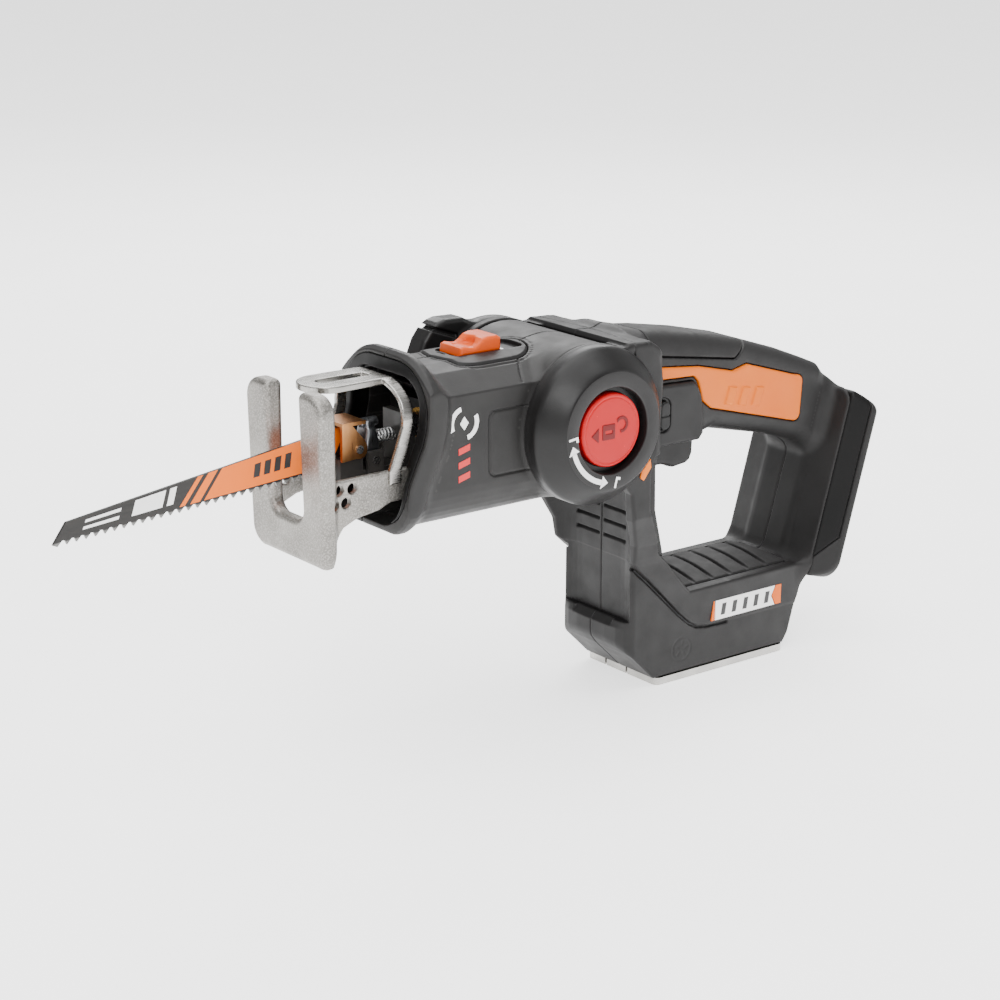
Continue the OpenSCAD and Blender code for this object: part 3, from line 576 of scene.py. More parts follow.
def handle(x, y, z):
    a = np.abs(y)
    body = handle_body(x, y, z)
    w, _ = battery_axes(x, z)

    # room for what moves in the handle and for the pieces set into it
    body = np.maximum(body, -both(circle(x, z, PIVOT_X, PIVOT_Z, DRUM_R + 0.9), a - 31.5))
    body = np.maximum(body, -circle(x, z, PIVOT_X, PIVOT_Z, 26))
    body = np.maximum(body, -swung_head(x, a, z))
    window = both(slab(x, TRIGGER_LO[0] - 0.6, TRIGGER_HI[0] + 0.9), both(a - 8.9, slab(z, 100, 120)))
    body = np.maximum(body, -window)
    body = np.maximum(body, -both(lock_off_profile(x, z, 0.3), 12 - a))
    body = np.maximum(body, w + 12)
    pad = both(slab(x, PAD_LO[0] - 0.3, PAD_HI[0] + 0.3), both(a - PAD_HI[1] - 0.3, 42 - z))
    body = np.maximum(body, -np.maximum(pad, z - 60))
    inset = np.minimum(poly(x, z, INSERT) - 0.45, poly(x, z, CHEEK) - 0.3)
    body = np.maximum(body, -np.maximum(inset, INSERT_DEPTH - a))
    top = poly(x, z, TOP_PAD)
    body = np.maximum(body, -np.maximum(top - 0.35, -(body + 2.4)))
    body = np.maximum(body, -louvres(x, a, z))

    # fine lines under the sweep of the arm and over the saddle, and the fan mark on the side
    sweep = (a > 22) & (x > -58) & (x < 4) & (z < 64)
    body = groove(body, np.where(sweep, poly(x, z, ARM) - 0.5, 9), 1.3, 1.3)
    body = groove(body, np.where((z > 150) & (x < -58), x + 63.5 + 0.003 * a * a, 9), 0.6, 0.6)
    fan = circle(x, z, -25, 14.8, 5.6)
    body = groove(body, np.where(a > 24, fan, 9), 0.55, 0.4)
    for k in range(5):
        turn = math.radians(20 + 72 * k)
        along = (x + 25) * math.cos(turn) + (z - 14.8) * math.sin(turn)
        across = (x + 25) * math.sin(turn) - (z - 14.8) * math.cos(turn)
        vane = np.maximum(slab(across - 0.16 * along, -0.3, 0.3), slab(along, 1.7, 4.2))
        body = np.maximum(body, -np.maximum(vane, 24.3 - a))
    return body


def top_pad(x, y, z):
    body = handle_body(x, y, z)
    edge = poly(x, z, TOP_PAD) + 0.3
    return chamfered(np.maximum(body, -(body + 2.2)), edge, 0.5)


def half_of(shape, side, gap=0.08):
    """One half of a clamshell, with a narrow seam on the middle plane."""
    return lambda x, y, z: chamfered(shape(x, y, z), gap - side * y, 0.35)


for half, sign in (("left", -1), ("right", 1)):
    ys = (-ARM_OUT, 0) if sign < 0 else (0, ARM_OUT)
    sculpt("handle_" + half, (PIVOT_X - CAP_R, ys[0], PLATE_TOP), (84, ys[1], 172), COARSE,
           half_of(handle, sign), "handle", HOUSING, ["handle_shell_" + half], "housing")

    def insert(x, y, z, sign=sign):
        a = sign * y
        crown = 17.9 + 0.25 * np.cos((z - 131) * 0.08)
        face = both(poly(x, z, INSERT), a - crown, 1.1)
        bars = np.float32(1e3)
        for k in range(3):
            lean = (x - (7 + 9 * k)) - (z - 129.5) * 0.35
            bar = np.maximum(slab(lean, -2.6, 2.6), slab(z + 0.18 * x, 128, 136.5 + k * 0.3))
            bars = np.minimum(bars, bar)
        face = either(face, both(bars, a - crown - 0.75, 0.3))
        return np.maximum(face, INSERT_DEPTH - a)

    def cheek(x, y, z, sign=sign):
        a = sign * y
        block = both(poly(x, z, CHEEK), a - 19.3, 1.8)
        block = np.maximum(block, INSERT_DEPTH - a)
        block = less(block, both(lock_off_profile(x, z, 1.6), 18.3 - a), 0.6)
        return np.maximum(block, -lock_off_profile(x, z, 0.35))

    span = sorted((sign * INSERT_DEPTH, sign * 20))
    sculpt("grip_insert_" + half, (-36, span[0], 112), (55, span[1], 151), MEDIUM,
           insert, "handle", ORANGE, ["side_insert_" + half], "accent_orange")
    sculpt("switch_cheek_" + half + "_piece", (-47, span[0], 112), (-9, span[1], 143), MEDIUM,
           cheek, "handle", HOUSING_DARK, ["switch_cheek_" + half], "housing_dark")


def lower_pad(x, y, z):
    a = np.abs(y)
    crown = PAD_HI[2] + 0.3 - 0.004 * a * a
    block = both(both(slab(x, PAD_LO[0], PAD_HI[0]), a - PAD_HI[1], 2), z - crown, 0.8)
    block = np.maximum(chamfered(block, a - PAD_HI[1], 0.8), PAD_LO[2] - z)
    for k in range(6):
        line = ((x - (-20.5 + 11.5 * k)) - y * 0.21) * 0.98
        block = less(block, both(slab(line, -0.95, 0.95), PAD_HI[2] - 1.7 - z, 0.4), 0.7)
    return block


def trigger(x, y, z):
    outline = [(TRIGGER_LO[0], 112), (-39.8, 100.5), (-37.5, 98.9)] + arc(-27, 87.4, 13.2, 118, 60, 8) + [
        (-17.5, 98), (-10, 98.8), (-7.5, 100.2), (-6, 103.5), (TRIGGER_HI[0], 112)]
    body = both(poly(x, z, outline), np.abs(y) - TRIGGER_HI[1], 2.4)
    return np.maximum(body, z - TRIGGER_HI[2])


def lock_off(x, y, z):
    a = np.abs(y)
    body = both(lock_off_profile(x, z, 0), a - LOCK_HI[1], 0.8)
    return groove(body, np.where(a > 18, z - (LOCK_LO[2] + LOCK_HI[2]) / 2, 9), 0.8, 0.4)


sculpt("upper_pad", (-43, -18, 146), (24, 18, 169), MEDIUM,
       top_pad, "handle", SOFT_TOP, ["grip_pad_top"], "soft_grip")
sculpt("lower_pad", PAD_LO, PAD_HI + [0, 0, 0.4], MEDIUM,
       lower_pad, "handle", SOFT, ["grip_pad_lower"], "soft_grip")
sculpt("trigger_lever", TRIGGER_LO, TRIGGER_HI, MEDIUM,
       trigger, "trigger", HOUSING, ["trigger"], "trigger_grey")
sculpt("lock_off_slide", LOCK_LO, LOCK_HI, FINE,
       lock_off, "lock_off", BLACK, ["lock_off_button"], "black_plastic")


def flange(x, y, z):
    w, h = battery_axes(x, z)
    a = np.abs(y)
    plate = both(round_rect(y, h - 43.5, FLANGE_HALF, 47, 11), slab(w, -12, 0), 1.2)
    plate = both(plate, (a - FLANGE_HALF - 0.8 * (w + 2)) * 0.78, 1.0)
    top = (h - 90 + 0.42 * (w + 12)) * 0.92
    plate = both(plate, top, 4)
    plate = np.maximum(plate, -np.maximum(slab(w, -4, 5), round_rect(y, h - 45, 26, 37, 3)))
    plate = np.maximum(plate, -np.maximum(slab(w, -13, -6), a - 17.2))
    return np.maximum(plate, -np.maximum(slab(w, -13, 1), round_rect(y, h - 52, 12, 8, 0.5)))


def band_zone(x, z):
    """Where the flange is black: ahead of its rim and above its pointed lower end."""
    w, h = battery_axes(x, z)
    return np.maximum(w + 3.6, (18 - h + 1.5 * (w + 3.6)) * 0.55)


def flange_band(x, y, z):
    return chamfered(flange(x, y, z), band_zone(x, z) + 0.15, 0.35)


def flange_rim(x, y, z):
    return chamfered(flange(x, y, z), 0.15 - band_zone(x, z), 0.35)


FLANGE_LO, FLANGE_HI = node_box("battery_flange")
sculpt("battery_band", FLANGE_LO, FLANGE_HI, COARSE,
       flange_band, "handle", BAND, ["battery_flange"], "soft_black")
sculpt("battery_rim", FLANGE_LO, FLANGE_HI, COARSE, flange_rim, "handle", HOUSING, (), "housing")

WEDGE = [(-57.5, 115.6), (-57, 111.3), (-61.3, 105.8), (-63.4, 107.5), (-62.6, 110.4)]
BADGE_LEFT, BADGE_RIGHT, BADGE_LOW, BADGE_HIGH = -7.7, 37.3, 25.2, 34.8
BADGE_MID = (BADGE_LOW + BADGE_HIGH) / 2
BADGE_PLATE = [(BADGE_LEFT + 2.4, BADGE_LOW), (33.2, BADGE_LOW), (30.8, BADGE_MID), (33.2, BADGE_HIGH),
               (BADGE_LEFT + 2.4, BADGE_HIGH)]
BADGE_STROKES = [[(x0, 27.2), (x0 + 2.6, 27.2), (x0 + 3.6, 32.8), (x0 + 1.0, 32.8)]
                 for x0 in (-2, 5, 12, 19, 26)]
BADGE_ARROW = [(33.8, BADGE_LOW), (BADGE_RIGHT, BADGE_LOW), (BADGE_RIGHT, BADGE_HIGH), (33.8, BADGE_HIGH),
               (31.4, BADGE_MID)]
BADGE_SLIVER = [(BADGE_LEFT, BADGE_LOW), (BADGE_LEFT + 1.9, BADGE_LOW), (BADGE_LEFT + 1.9, BADGE_HIGH),
                (BADGE_LEFT + 1.2, BADGE_HIGH)]
for sign, word in ((-1, "left"), (1, "right")):
    side = on_side(sign)
    prism("hub_wedge_" + word, [WEDGE], ARM_OUT - 0.4, ARM_OUT + 0.6, side,
          "handle", ORANGE, ["hub_accents"] if sign < 0 else (), bevel=0.25)
    prism("badge_plate_" + word, [BADGE_PLATE], 24.9, 26.05, side,
          "handle", WHITE, ["side_badges"] if sign < 0 else (), bevel=0.12)
    prism("badge_strokes_" + word, BADGE_STROKES, 25.6, 26.15, side, "handle", BLACK_PRINT, ())
    prism("badge_ends_" + word, [BADGE_ARROW, BADGE_SLIVER], 24.9, 26.0, side,
          "handle", ORANGE_PRINT, (), bevel=0.1)


# ---- hub ----


RECESS_R = 19.3
RECESS_FLOOR = HUB_FACE - 5
CAP_PROFILE = [(CAP_R - inward, HUB_FACE - deep) for inward, deep in (
    (0, 11.6), (0.3, 10.4), (1.2, 9), (3.2, 6.6), (5.6, 3.9), (7.4, 1.9), (8.6, 0.7), (9.4, 0.15), (10, 0))]
CAP_PROFILE = ([(CAP_R, ARM_IN)] + CAP_PROFILE + [(RECESS_R + 0.8, HUB_FACE)]
               + arc(RECESS_R + 0.8, HUB_FACE - 0.8, 0.8, 100, 180, 4)
               + [(RECESS_R - 0.5, RECESS_FLOOR), (16.9, RECESS_FLOOR), (16.9, RECESS_FLOOR - 2),
                  (24.5, RECESS_FLOOR - 2), (24.5, ARM_IN)])
lathe("hub_cap_near", CAP_PROFILE, "handle", CAP, ["hub_cap_left"])
lathe("hub_ring_near", [(19.6, HUB_FACE - 0.6), (26.0, HUB_FACE - 0.6), (26.0, HUB_FACE), (25.7, HUB_FACE + 0.12),
                        (20.4, HUB_FACE + 0.12), (19.6, HUB_FACE - 0.1)], "handle", RING, ())


SHOULDER = [(-131.5, 144), (-131.5, 158), (-128.5, 165), (-124.3, 170.4), (-120.5, 172.6), (-116.8, 173.6),
            (-106.7, 173.3), (-96, 168), (-98, 160), (-112, 146), (-118, 134)]


def far_cap(x, y, z):
    r = np.hypot(x - PIVOT_X, z - PIVOT_Z)
    cap = both(r - CAP_R, slab(y, ARM_IN, HUB_FACE), 8.5)
    cap = np.maximum(cap, ARM_IN - y)
    shoulder = both(poly(x, z, SHOULDER), slab(y, 36.3, 48), 2.2)
    cap = either(cap, shoulder, 2.5)
    stripe = slab((x + 119) * 0.36 + (z - 168.5), -1.1, 1.1)
    cap = np.maximum(cap, -np.maximum(np.maximum(stripe, slab(x, -127, -110)), -(cap + 1.8)))
    cap = less(cap, both(r - 18.5, HUB_FACE - 1.6 - y, 0.6), 0.6)
    cap = either(cap, both(r - 16.4, slab(y, 40, HUB_FACE - 0.8), 1.2))
    return cap


sculpt("hub_cap_far", (-131.5, ARM_IN, PIVOT_Z - CAP_R), (PIVOT_X + CAP_R, HUB_FACE, 173.8), MEDIUM,
       far_cap, "handle", CAP, ["hub_cap_right"], "housing_dark")


def lock_icon(x, z):
    """Open padlock on its side, with an arrow head."""
    body = round_rect(x + 91.8, z - 135.6, 3.6, 3.5, 0.6)
    hole = round_rect(x + 91.8, z - 135.6, 2.0, 0.7, 0.5)
    shackle = np.maximum(np.abs(circle(x, z, -84.6, 138.0, 3.0)) - 0.8, -(x + 86.4) - (z - 138) * 0.4)
    arrow = poly(x, z, [(-101.4, 134.8), (-97.3, 138.2), (-97.3, 131.4)])
    return np.minimum(np.minimum(np.maximum(body, -hole), shackle), arrow)


def button_crown(x, y, z):
    """Height above the slightly domed face of the button."""
    r = np.hypot(x - PIVOT_X, z - PIVOT_Z)
    return -y - (BUTTON_FACE - 0.35 - 0.0012 * r * r)


def button(x, y, z):
    r = np.hypot(x - PIVOT_X, z - PIVOT_Z)
    disc = both(r - BUTTON_R, button_crown(x, y, z), 1.1)
    rim = groove(disc, np.where(y < -45, r - 14.6, 9), 0.5, 0.25)
    return np.maximum(rim, BUTTON_BACK + y)


def button_mark(x, y, z):
    return both(lock_icon(x, z), slab(button_crown(x, y, z), -0.4, 0.3), 0.1)


BUTTON_BACK = 39
BUTTON_BOX = ((PIVOT_X - BUTTON_R, -BUTTON_FACE, PIVOT_Z - BUTTON_R),
              (PIVOT_X + BUTTON_R, -BUTTON_BACK, PIVOT_Z + BUTTON_R))
sculpt("release_button", *BUTTON_BOX, FINE, button, "lock_button", RED, ["lock_button"], "button_red")
sculpt("release_mark", *BUTTON_BOX, FINE, button_mark, "lock_button", RED_DEEP, (), "button_red")


def bow(cx, cz, r, half, start, end, n=12):
    """Part of a ring, half to each side of radius r."""
    return arc(cx, cz, r + half, start, end, n) + arc(cx, cz, r - half, end, start, n)


def ring_arrow():
    """Arrow with two heads that follows the ring round its lower front."""
    mid, start, end = 22.9, 197, 254

    def tip(angle, tip_angle):
        return [(PIVOT_X + r * math.cos(math.radians(t)), PIVOT_Z + r * math.sin(math.radians(t)))
                for r, t in ((mid + 2.9, angle), (mid, tip_angle), (mid - 2.9, angle))]

    return [bow(PIVOT_X, PIVOT_Z, mid, 1.15, start, end, 16), tip(start + 0.5, 188.5), tip(end - 0.5, 262.5)]


def small_saw(cx, cz, turn):
    """Small plain tool mark: a bar with a short grip."""
    shape = [(-2.6, 0.5), (2.4, 0.5), (2.4, -1.9), (1.2, -1.9), (1.2, -0.5), (-2.6, -0.5)]
    c, s = math.cos(math.radians(turn)), math.sin(math.radians(turn))
    return [(cx + u * c - v * s, cz + u * s + v * c) for u, v in shape]


RING_MARKS = ring_arrow() + [small_saw(PIVOT_X - 22.2, PIVOT_Z - 0.2, 8),
                             small_saw(PIVOT_X + 1.8, PIVOT_Z - 23.2, 75)]
prism("ring_marks", RING_MARKS, HUB_FACE + 0.05, HUB_FACE + 0.2, on_side(-1), "handle", WHITE, ())


# ---- head ----

MOUTH_FACE = [(-260, 90), (-189, 90), (-188.5, 104), (-187.7, 115), (-186.3, 123), (-182.2, 132),
              (-178.6, 139.5), (-176.7, 146.5), (-176, 154), (-176, 190), (-260, 190)]


def head(x, y, z):
    a = np.abs(y)
    behind = poly(x, z, MOUTH_FACE)
    section = poly(a, z, SECTION)
    barrel = np.maximum(section, x - PIVOT_X)
    rim = chamfered(poly(a, z, MOUTH_SECTION), 0.3 - behind, 2.6)
    rim = both(rim, behind - 5.5, 1.0)
    drum = both(circle(x, z, PIVOT_X, PIVOT_Z, DRUM_R), a - BARREL_SIDE, 1.6)
    shell = either(either(barrel, rim, 9), drum, 3)
    shell = np.maximum(shell, 0.3 - behind)
    shell = np.maximum(shell, BARREL_LOW - z)
    inside = np.minimum(np.maximum(poly(a, z, HOLLOW), x - PIVOT_X),
                        both(circle(x, z, PIVOT_X, PIVOT_Z, DRUM_R - 2.6), a - 28.4))
    shell = np.maximum(shell, -inside)
    shell = np.maximum(shell, -np.maximum(poly(a, z, MOUTH_SECTION) + 2.8, behind - 3.2))
    shell = np.maximum(shell, -np.maximum(section + 2.4, behind - 12.2))
    panel = poly(x, y, PANEL)
    shell = np.maximum(shell, -np.maximum(panel - 0.3, BARREL_TOP - 6 - z))
    shell = groove(shell, np.where(z > 160, panel - 1.9, 9), 0.6, 0.5)
    access = round_rect(x + 126.3, z - 134.8, 17, 14.3, 3.5)
    shell = groove(shell, np.where(a > 28, access, 9), 0.7, 0.7)
    hoop = circle(x, z, PIVOT_X - 4, PIVOT_Z, 38.5)
    return groove(shell, np.where((z > 150) & (a < 30), hoop, 9), 0.6, 0.5)


def mouth_ring(x, y, z):
    """Black face inside the grey rim, with a short tube behind it that lines the barrel."""
    a = np.abs(y)
    behind = poly(x, z, MOUTH_FACE)
    ring = chamfered(np.maximum(poly(a, z, MOUTH_SECTION) + 2.9, behind - 3), -behind, 0.4)
    ring = np.minimum(ring, np.maximum(poly(a, z, SECTION) + 2.6, np.maximum(behind - 12, 1 - behind)))
    ring = less(ring, poly(a, z, MOUTH_HOLE), 1.2)
    wide = both(slab(z, 60, PIVOT_Z + 29.5), a - 24.6, 12)
    face = np.maximum(np.maximum(poly(a, z, MOUTH_SECTION) + 2.9, slab(behind, 0, 2.6)), 130 - z)
    return np.minimum(ring, less(face, wide, 1.0))


for half, sign in (("left", -1), ("right", 1)):
    ys = (-32, 0) if sign < 0 else (0, 32)
    sculpt("head_" + half, (-191, ys[0], BARREL_LOW), (PIVOT_X + DRUM_R, ys[1], 179), COARSE,
           half_of(head, sign), "head", HEAD, ["head_shell_" + half], "housing")
sculpt("mouth_ring", BEZEL_LO, (-163.5, BEZEL_HI[1], BEZEL_HI[2]), MEDIUM,
       mouth_ring, "head", BAND, ["bezel"], "soft_black")


def top_panel(x, y, z):
    crown = poly(np.abs(y), z, SECTION)
    plate = chamfered(poly(x, y, PANEL), crown - 0.75, 0.9)
    plate = np.maximum(plate, BARREL_TOP - 5.5 - z)
    slot = round_rect(x + 126, y, 19, 8.6, 4)
    plate = less(plate, np.maximum(slot, BARREL_TOP - 1.4 - z), 0.4)
    mark = np.maximum(slab(x + 146.5, -0.5, 0.5), np.abs(y) - 3)
    return np.maximum(plate, -np.maximum(mark, BARREL_TOP + 0.2 - z))


def slide(x, y, z):
    base = BARREL_TOP - 0.7
    profile = [(-142, base), (-119.5, base), (-119.5, base + 6.0), (-121.5, base + 7.2), (-126.5, base + 7.3),
               (-129.5, base + 6.6), (-132, base + 4.6), (-134.2, base + 3.5), (-136.5, base + 3.7),
               (-139.5, base + 4.4), (-141.4, base + 3.8)]
    scoop = np.hypot((x + 134.3) * 0.9, y) - 4.6
    body = both(poly(x, z, profile), np.abs(y) - 7.9, 1.5)
    return less(body, both(scoop, base + 2.9 - z, 1.0), 0.9)


sculpt("top_panel_piece", (-154, -18, BARREL_TOP - 5.5), (-103, 18, BARREL_TOP + 0.8), FINE + 0.05,
       top_panel, "head", HOUSING_DARK, ["top_panel"], "housing_dark")
sculpt("mode_slide", (-142, -8, BARREL_TOP - 0.7), (-119.5, 8, BARREL_TOP + 6.7), FINE,
       slide, "selector", SLIDE, ["selector_slide"], "slide_orange")

LOGO_X, LOGO_Z = -157.0, 146.2
LOGO = [bow(LOGO_X, LOGO_Z, 6.6, 1.05, start, start + 100) for start in (105, -75)] + [
    [(LOGO_X - 2.2, LOGO_Z), (LOGO_X, LOGO_Z - 3), (LOGO_X + 2.2, LOGO_Z), (LOGO_X, LOGO_Z + 3)]]
LOGO_BARS = [[(LOGO_X - 3, z0), (LOGO_X + 3, z0 + 1.6), (LOGO_X + 3, z0 + 4.4), (LOGO_X - 3, z0 + 2.8)]
             for z0 in (120.6, 126.6, 132.6)]
for sign, word in ((-1, "left"), (1, "right")):
    side = on_side(sign)
    prism("swivel_mark_" + word, LOGO, BARREL_SIDE - 0.1, BARREL_SIDE + 0.12, side,
          "head", WHITE, ())
    prism("red_bars_" + word, LOGO_BARS, BARREL_SIDE - 0.1, BARREL_SIDE + 0.1, side,
          "head", RED_PRINT, ())
SLIDE_MARKS = [arc(-115.6, y0, 1.1, 0, 330, 11) for y0 in (-2.4, 2.4)] + [
    [(-118.2, -0.5), (-114, -0.5), (-114, 0.5), (-118.2, 0.5)]]
prism("slide_marks", SLIDE_MARKS, BARREL_TOP - 1.5, BARREL_TOP - 1.25, on_top, "head", WHITE, ())


# ---- shoe, guard and blade ----

SLOT_HALF = 11.5
SLOT_FLOOR = SHOE_LO[2] + 18
RELIEF_HOLES = ((-216.1, 125.3), (-209.5, 125.3), (-218.6, 119.5), (-212.7, 119.6))


def shoe(x, y, z):
    a = np.abs(y)
    mid = (SHOE_LO[2] + SHOE_HI[2]) / 2
    plate = round_rect(y, z - mid, SHOE_HI[1], (SHOE_HI[2] - SHOE_LO[2]) / 2, 9)
    slot = round_rect(y, z - (SLOT_FLOOR + 60), SLOT_HALF, 60, 6)
    plate = both(plate, -slot, 3)
    front = SHOE_LO[0] - 0.03 * (z - 100)
    face = both(plate, np.maximum(front - x, x - SHOE_LO[0] - 6.8), 2.9)
    rail = poly(x, z, [(-222, 93), (-219.5, 93), (-218.5, 103), (-214, 109), (-207, 112), (-196, 113.6),
                       (-190, 116), (-148, 116), (-148, 130), (-222, 129.4)])
    rails = both(rail, slab(a, 21.4, 24.5), 0.9)
    part = either(face, rails, 3.5)
    for hx, hz in RELIEF_HOLES:
        part = less(part, np.maximum(circle(x, z, hx, hz, 2.35), 15 - a), 0.3)
    return part


def guard_arch(inset):
    """The guard's hoop seen from the front, inset from its outer edge."""
    top = GUARD_HI[2] - 17
    return [(-6, 120), (26 - inset, 120), (26 - inset, 131), (25.4 - inset, 140)] + arc(
        9, top, 17 - inset, 5, 90, 10) + [(-6, GUARD_HI[2] - inset)]


def guard(x, y, z):
    a = np.abs(y)
    hoop = np.maximum(poly(a, z, guard_arch(0)), -poly(a, z, guard_arch(2.3)))
    path = [(-191.8, 121), (-191.6, 130), (-187.5, 139), (-184.6, 148), (-184.2, 158), (-186, 168),
            (-180, 168), (-179.2, 158), (-179.4, 148), (-181.6, 139), (-185.6, 130), (-185.6, 121)]
    hoop = both(hoop, poly(x, z, path), 0.6)
    tongue = poly(x, y, [(-180, 12), (-184, 11.8), (-205, 12.2)] + arc(-206, 0, 12.2, 94, 266, 16) + [
        (-205, -12.2), (-184, -11.8), (-180, -12)])
    slot = round_rect(x + 197, y, 13.5, 3.1, 3)
    plate = both(tongue, slab(z, GUARD_HI[2] - 1.6, GUARD_HI[2]), 0.5)
    plate = np.maximum(plate, -slot)
    edge = np.minimum(np.maximum(tongue, -(tongue + 1.7)), np.maximum(slot - 1.5, -slot))
    edge = both(edge, slab(z, GUARD_HI[2] - 3.0, GUARD_HI[2]), 0.5)
    return np.maximum(np.minimum(hoop, np.minimum(plate, edge)), 124 - z)


sculpt("shoe_casting", SHOE_LO - [2.2, 0, 0], SHOE_HI, MEDIUM,
       shoe, "head", CAST, ["shoe"], "cast_alloy")
sculpt("guard_hoop", (-218.3, GUARD_LO[1], 124), GUARD_HI, FINE + 0.05,
       guard, "head", GUARD, ["blade_guard"], "plate_steel")


def blade_low(x):
    return BLADE_TIP[1] + BLADE_SLOPE * (x + BLADE_TIP[0]) + 2.5


def blade_high(x):
    return 126.9 + 0.14 * (x + 328.4)


def blade_band(x0, x1, lean, low=0.0, high=1.0):
    """A slanted patch on the blade's side between two shares of its height."""
    def point(x, share):
        x += lean * share
        return (x, blade_low(x) + (blade_high(x) - blade_low(x)) * share)
    return [point(x0, low), point(x1, low), point(x1, high), point(x0, high)]


BLADE_ORANGE = [blade_band(-266, -204.5, 9), blade_band(-272.5, -268, 9), blade_band(-277.5, -275, 9)]
LABEL = [blade_band(-300, -286, 3, 0.2, 0.9), blade_band(-284, -281, 3, 0.2, 0.9)]
LABEL_LINES = [blade_band(-322, -306, 3, 0.62, 0.78), blade_band(-322, -306, 3, 0.25, 0.41)]
WORD_BARS = [blade_band(x0, x0 + 3, 2, 0.3, 0.75) for x0 in (-243, -238, -233, -228)]
for sign, word in ((-1, "left"), (1, "right")):
    side = on_side(sign)
    prism("blade_orange_" + word, BLADE_ORANGE, 0.55, 0.64, side, "plunger", ORANGE_PRINT, ())
    prism("blade_label_" + word, LABEL + LABEL_LINES, 0.55, 0.64, side, "plunger", WHITE, ())
    prism("blade_bars_" + word, WORD_BARS, 0.6, 0.68, side, "plunger", BLACK_PRINT, ())


def lever(x, y, z):
    """Curved saddle over the lever pin, with a rolled thumb tab above it."""
    a = np.abs(y)
    saddle = both(np.hypot(x + 185.3, (z - 134.5) * 0.42) - 3.8, a - 4.6, 1.6)
    saddle = np.maximum(saddle, slab(z, 129.8, 142.5))
    tab = both(np.hypot(y + 1.2, z - 145.3) - 2.1, slab(x, -190, -181.2), 0.8)
    neck = both(slab(x, -187.5, -183.5), both(slab(z, 139, 146), a - 3.6), 0.8)
    return either(either(saddle, neck, 1.2), tab, 0.8)


LEVER_LO, LEVER_HI = node_box("clamp_lever")
sculpt("thumb_lever", LEVER_LO, LEVER_HI, FINE,
       lever, "clamp_lever", LEVER_STEEL, ["clamp_lever"], "lever_grey")


# ---- CAD nodes that keep their shape ----

KEPT = {
    "pivot_bushes": BRONZE, "lock_spring": STEEL, "trigger_switch": INNER, "battery_rail": BLACK,
    "terminal_block": INNER, "terminal_blades": BRONZE, "controller_board": BOARD, "battery_leads": WIRE,
    "base_plate": PLATE, "base_screws": STEEL, "housing_screws": STEEL, "head_screws": STEEL,
    "gearcase": BLACK, "motor_can": DARK_STEEL, "motor_magnets": MAGNET, "motor_endcap": INNER,
    "motor_bearings": STEEL, "armature": BRONZE, "pinion": STEEL, "crank_gear": DARK_STEEL,
    "gear_bearing": STEEL, "plunger": STEEL, "plunger_bushes": BRONZE, "clamp_body": CLAMP,
    "clamp_bracket": COPPER, "clamp_pins": STEEL, "clamp_stud": STEEL, "clamp_spring": STEEL,
    "blade": BLADE, "shoe_screws": STEEL,
}
EDGE = {"base_plate": 0.5, "battery_rail": 0.4, "clamp_body": 0.3, "clamp_bracket": 0.25, "clamp_pins": 0.3,
        "base_screws": 0.2, "housing_screws": 0.2, "shoe_screws": 0.3, "plunger": 0.3,
        "terminal_block": 0.3, "gearcase": 0.4}
for node, finish in KEPT.items():
    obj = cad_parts[node]
    for k in range(len(obj.material_slots)):
        obj.material_slots[k].link = "OBJECT"
        obj.material_slots[k].material = finish
    if node in EDGE:
        soften(obj, EDGE[node])


# ---- studio and camera ----


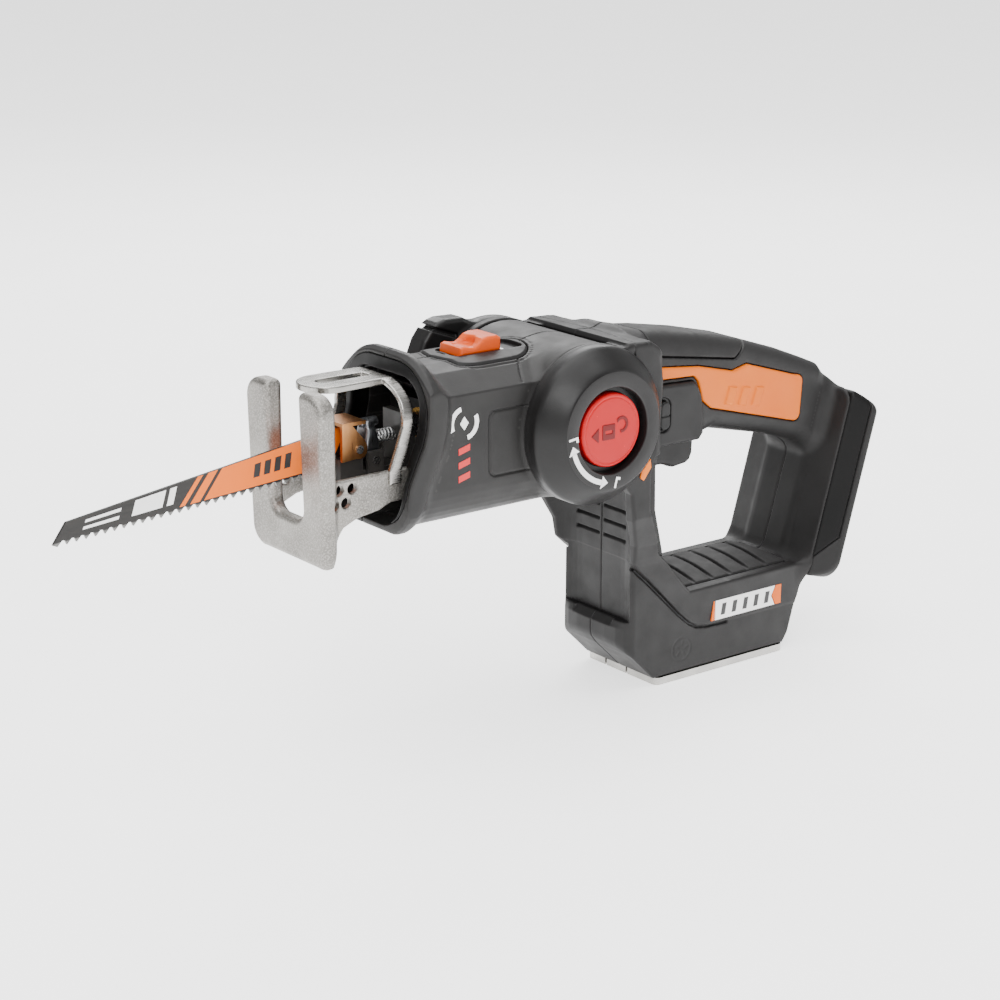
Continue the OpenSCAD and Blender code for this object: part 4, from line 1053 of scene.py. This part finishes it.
def camera():
    """The calibrated viewpoint, in the frame of the part."""
    azimuth, elevation, roll = math.radians(-37.76), math.radians(16.55), math.radians(0.22)
    back = np.array([math.sin(azimuth) * math.cos(elevation), -math.cos(azimuth) * math.cos(elevation),
                     math.sin(elevation)])
    right = np.array([math.cos(azimuth), math.sin(azimuth), 0.0])
    up = np.cross(back, right)
    turned_right = right * math.cos(roll) + up * math.sin(roll)
    turned_up = -right * math.sin(roll) + up * math.cos(roll)
    data = bpy.data.cameras.new("camera")
    data.lens, data.sensor_width = 87.56, 36.0
    data.clip_start, data.clip_end = 0.05, 20.0
    obj = bpy.data.objects.new("camera", data)
    bpy.context.scene.collection.objects.link(obj)
    rotation = Matrix([[turned_right[i], turned_up[i], back[i]] for i in range(3)])
    obj.matrix_world = Matrix.Translation((-0.7495, -0.8206, 0.4061)) @ rotation.to_4x4()
    bpy.context.scene.camera = obj


def area_light(name, location, target, size, power):
    data = bpy.data.lights.new(name, "AREA")
    data.shape = "RECTANGLE"
    data.size, data.size_y = size
    data.energy = power
    obj = bpy.data.objects.new(name, data)
    bpy.context.scene.collection.objects.link(obj)
    obj.location = location
    direction = np.array(target) - np.array(location)
    obj.rotation_mode = "QUATERNION"
    obj.rotation_quaternion = Vector(direction).to_track_quat("-Z", "Y")


def studio():
    mesh = bmesh.new()
    bmesh.ops.create_grid(mesh, x_segments=40, y_segments=40, size=6.0)
    data = bpy.data.meshes.new("floor")
    mesh.to_mesh(data)
    mesh.free()
    floor = new_object("floor", data)
    paper = Surface("floor_paper")
    tone = paper.colors(paper.noise(12, 3), linear("#f2f2f2"), linear("#f6f6f6"))
    paper.link(tone, paper.shader.inputs["Base Color"])
    paper.link(paper.ramp(paper.noise(400, 3), 0.7, 0.85), paper.shader.inputs["Roughness"])
    paper.shader.inputs["Emission Color"].default_value = (1, 1, 1, 1)
    paper.shader.inputs["Emission Strength"].default_value = 1.5
    data.materials.append(paper.material)
    floor.location.z = -0.0002
    middle = (-0.1, 0.0, 0.1)
    area_light("overhead", (-0.1, 0.1, 2.2), middle, (2.2, 2.2), 70)
    area_light("key", (-0.9, -1.0, 1.1), middle, (0.8, 0.8), 18)
    area_light("rim", (0.7, 1.0, 1.0), middle, (1.0, 0.6), 14)
    area_light("side", (1.3, -0.9, 0.5), middle, (0.6, 1.0), 5)
    world = bpy.data.worlds.new("studio")
    world.use_nodes = True
    world.node_tree.nodes["Background"].inputs["Color"].default_value = (1, 1, 1, 1)
    world.node_tree.nodes["Background"].inputs["Strength"].default_value = 0.6
    bpy.context.scene.world = world


camera()
studio()
